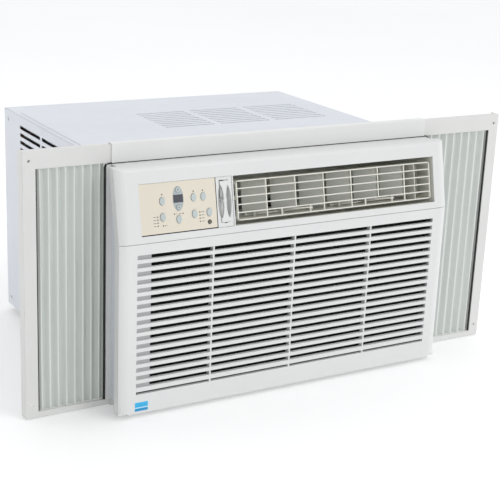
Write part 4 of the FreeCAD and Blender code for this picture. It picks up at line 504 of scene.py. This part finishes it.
def pleated(name, x_frame, x_clip, node, table):
    """Soft pleated sheet between the sliding frame and the clip strip on the cabinet."""
    rng = random.Random(PLEATS)
    half_pitch = (x_clip - x_frame) / (2 * PLEATS)
    soft = PLEAT_ROUND
    profile = []
    for i in range(2 * PLEATS + 1):
        x = x_frame + i * half_pitch
        front = i % 2
        y = PLEAT_FRONT if front else PLEAT_BACK
        back = (PLEAT_BACK - PLEAT_FRONT) * soft * (1 if front else -1)
        if i > 0:
            profile.append((x - soft * half_pitch, y + back))
        profile.append((x, y + back * 0.35))
        if i < 2 * PLEATS:
            profile.append((x + soft * half_pitch, y + back))
    profile.append((x_clip, PLEAT_HEM))
    rows = PLEAT_ROWS
    verts = []
    sway = [rng.uniform(-1, 1) for _ in range(len(profile))]
    for row in range(rows + 1):
        t = row / rows
        z = PLEAT_LOW + (PLEAT_HIGH - PLEAT_LOW) * t
        for k, (x, y) in enumerate(profile):
            inner = 0 < k < len(profile) - 1
            wave = math.sin(3.0 * t + 2.0 * sway[k // 3]) * math.sin(math.pi * t)
            drift = PLEAT_SWAY * wave if inner else 0
            verts.append((x + drift, y, z))
    width = len(profile)
    faces = [(r * width + k, r * width + k + 1, (r + 1) * width + k + 1, (r + 1) * width + k)
             for r in range(rows) for k in range(width - 1)]
    made = piece(name, verts, faces, table["bellows_vinyl"], None, True)
    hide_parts(node)
    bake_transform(made)


def cabinet_shade_strip(table):
    """Dark strip up both clip strips and under the top rail, rounded at the two corners: painted shade, black
    in place of the shadow in the gap there.
    """
    x_side = 0.3105
    z_top = 0.4044
    bend = 0.007
    y = -0.2160
    path = [(-x_side, y, PLEAT_LOW)]
    steps = 8
    for k in range(steps + 1):
        a = math.radians(180 - 90 * k / steps)
        path.append((-x_side + bend + bend * math.cos(a), y, z_top - bend + bend * math.sin(a)))
    for k in range(steps + 1):
        a = math.radians(90 - 90 * k / steps)
        path.append((x_side - bend + bend * math.cos(a), y, z_top - bend + bend * math.sin(a)))
    path.append((x_side, y, PLEAT_LOW))
    sweep("cabinet_shade_strip", path, 0.0013, 0.0020, (0, 1, 0), table["rubber_black"], "chassis")


def frame_shade_strips(table):
    """Dark strips where the pleated sheets enter the curtain frames: painted shade in place of the shadow in
    that gap, wider at the right frame.
    """
    y = -0.2146
    for label, x, half in (("left", -0.4209, 0.0006), ("right", 0.4483, 0.0012)):
        path = [(x, y, PLEAT_LOW), (x, y, PLEAT_HIGH)]
        sweep(label + "_frame_shade_strip", path, half, 0.0014, (0, 1, 0), table["rubber_black"],
              label + "_curtain")


def groove_shade_floors(table):
    """Grey floors of the shallow grooves that close the slots' left ends: painted shade, grey in place of the
    shadow inside the grooves.
    """
    thick = 0.00015
    gap = 0.0002
    y = FACE_Y + GROOVE_DEPTH - thick
    for row in range(1, SLOT_ROWS):
        z = SLOT_FIRST_Z + row * SLOT_PITCH
        path = [(GROOVE_X[0] + gap, y, z), (GROOVE_X[1] - gap, y, z)]
        sweep("groove_floor_%02d" % row, path, SLOT_HALF_H - gap, thick, (0, 1, 0), table["groove_grey"],
              "intake_panel")


def gap_shade(table):
    """Thin dark strips in the gap round the control plate and the escutcheon of the vent pull: painted shade
    in place of the gap shadow, wider along the plate's lower and right edges.
    """
    into = slope(0, 1, 0) - slope(0, 0, 0)
    bars = [("left", (-276.0, 10.7), (-276.0, 90.9), 0.30), ("top", (-276.1, 90.8), (-114.1, 90.8), 0.25),
            ("low", (-276.1, 11.45), (-142.9, 11.45), 0.80), ("middle", (-143.5, 10.7), (-143.5, 90.9), 0.66),
            ("right", (-114.2, 10.7), (-114.2, 90.9), 0.16)]
    for label, start, end, half in bars:
        depth = 1.25 if half > 0.5 else 2.2
        path = [slope(start[0], depth, start[1]), slope(end[0], depth, end[1])]
        sweep("panel_gap_shade_" + label, path, half / 1000, 0.0004, into, table["rubber_black"],
              "chassis")


def pocket_shade(table):
    """Dark strip in the gap above and beside the tab of the vent pull: painted shade in place of the shadow
    in that gap.
    """
    into = slope(0, 1, 0) - slope(0, 0, 0)
    path = [slope(x, 2.2, s) for x, s in ((-136.8, 58.0), (-136.8, 84.4), (-136.2, 85.2), (-129.6, 85.2))]
    sweep("pull_pocket_shade", path, 0.0005, 0.0003, into, table["rubber_black"], "chassis")


def print_marks(table):
    """Plain dashes printed where the control plate carries its legends."""
    marks = [(-235.9, -232.0, 23.9), (-214.9, -213.2, 40.1), (-210.6, -206.6, 40.1)]
    for s in (38.3, 33.7, 29.0, 24.3):
        marks.append((-254.6, -250.2, s))
    for s in (39.1, 34.2, 29.3, 24.5):
        marks.append((-171.5, -166.4, s))
    verts = []
    faces = []
    half = 0.38
    for x0, x1, s in marks:
        n = len(verts)
        round_off = half * 0.6
        outline = [(x0, s - half + round_off), (x0 + round_off, s - half), (x1 - round_off, s - half),
                   (x1, s - half + round_off), (x1, s + half - round_off), (x1 - round_off, s + half),
                   (x0 + round_off, s + half), (x0, s + half - round_off)]
        for depth in (0.94, 1.02):
            verts.extend(slope(x, depth, height) for x, height in outline)
        faces.append(tuple(range(n, n + 8)))
        faces.extend((n + k, n + 8 + k, n + 8 + (k + 1) % 8, n + (k + 1) % 8) for k in range(8))
    piece("panel_print", verts, faces, table["print_ink"], "chassis")


def key_mark(name, x, s, body, table):
    """Small dark dot, slightly domed, in the middle of an arrow key."""
    sides = 20
    radius = 1.25
    front = -0.62
    verts = [slope(x, front - 0.12, s)]
    for depth, r in ((front - 0.07, radius * 0.6), (front + 0.03, radius)):
        for k in range(sides):
            a = 2 * math.pi * k / sides
            verts.append(slope(x + r * math.cos(a), depth, s + r * math.sin(a)))
    faces = [(0, 1 + (k + 1) % sides, 1 + k) for k in range(sides)]
    for k in range(sides):
        after = (k + 1) % sides
        faces.append((1 + k, 1 + after, 1 + sides + after, 1 + sides + k))
    piece(name, verts, faces, table["print_ink"], body, True)


def main():
    table = make_materials()
    dress(table)
    camera()
    studio()
    pleated("left_pleats", LEFT_FRAME_X, -CLIP_X, "left_curtain_bellows", table)
    pleated("right_pleats", RIGHT_FRAME_X, CLIP_X, "right_curtain_bellows", table)
    cabinet_shade_strip(table)
    frame_shade_strips(table)
    groove_shade_floors(table)
    gap_shade(table)
    pocket_shade(table)
    print_marks(table)
    key_mark("up_mark", -210.1, 77.6, "key_up_body", table)
    key_mark("down_mark", -210.1, 49.8, "key_down_body", table)


main()
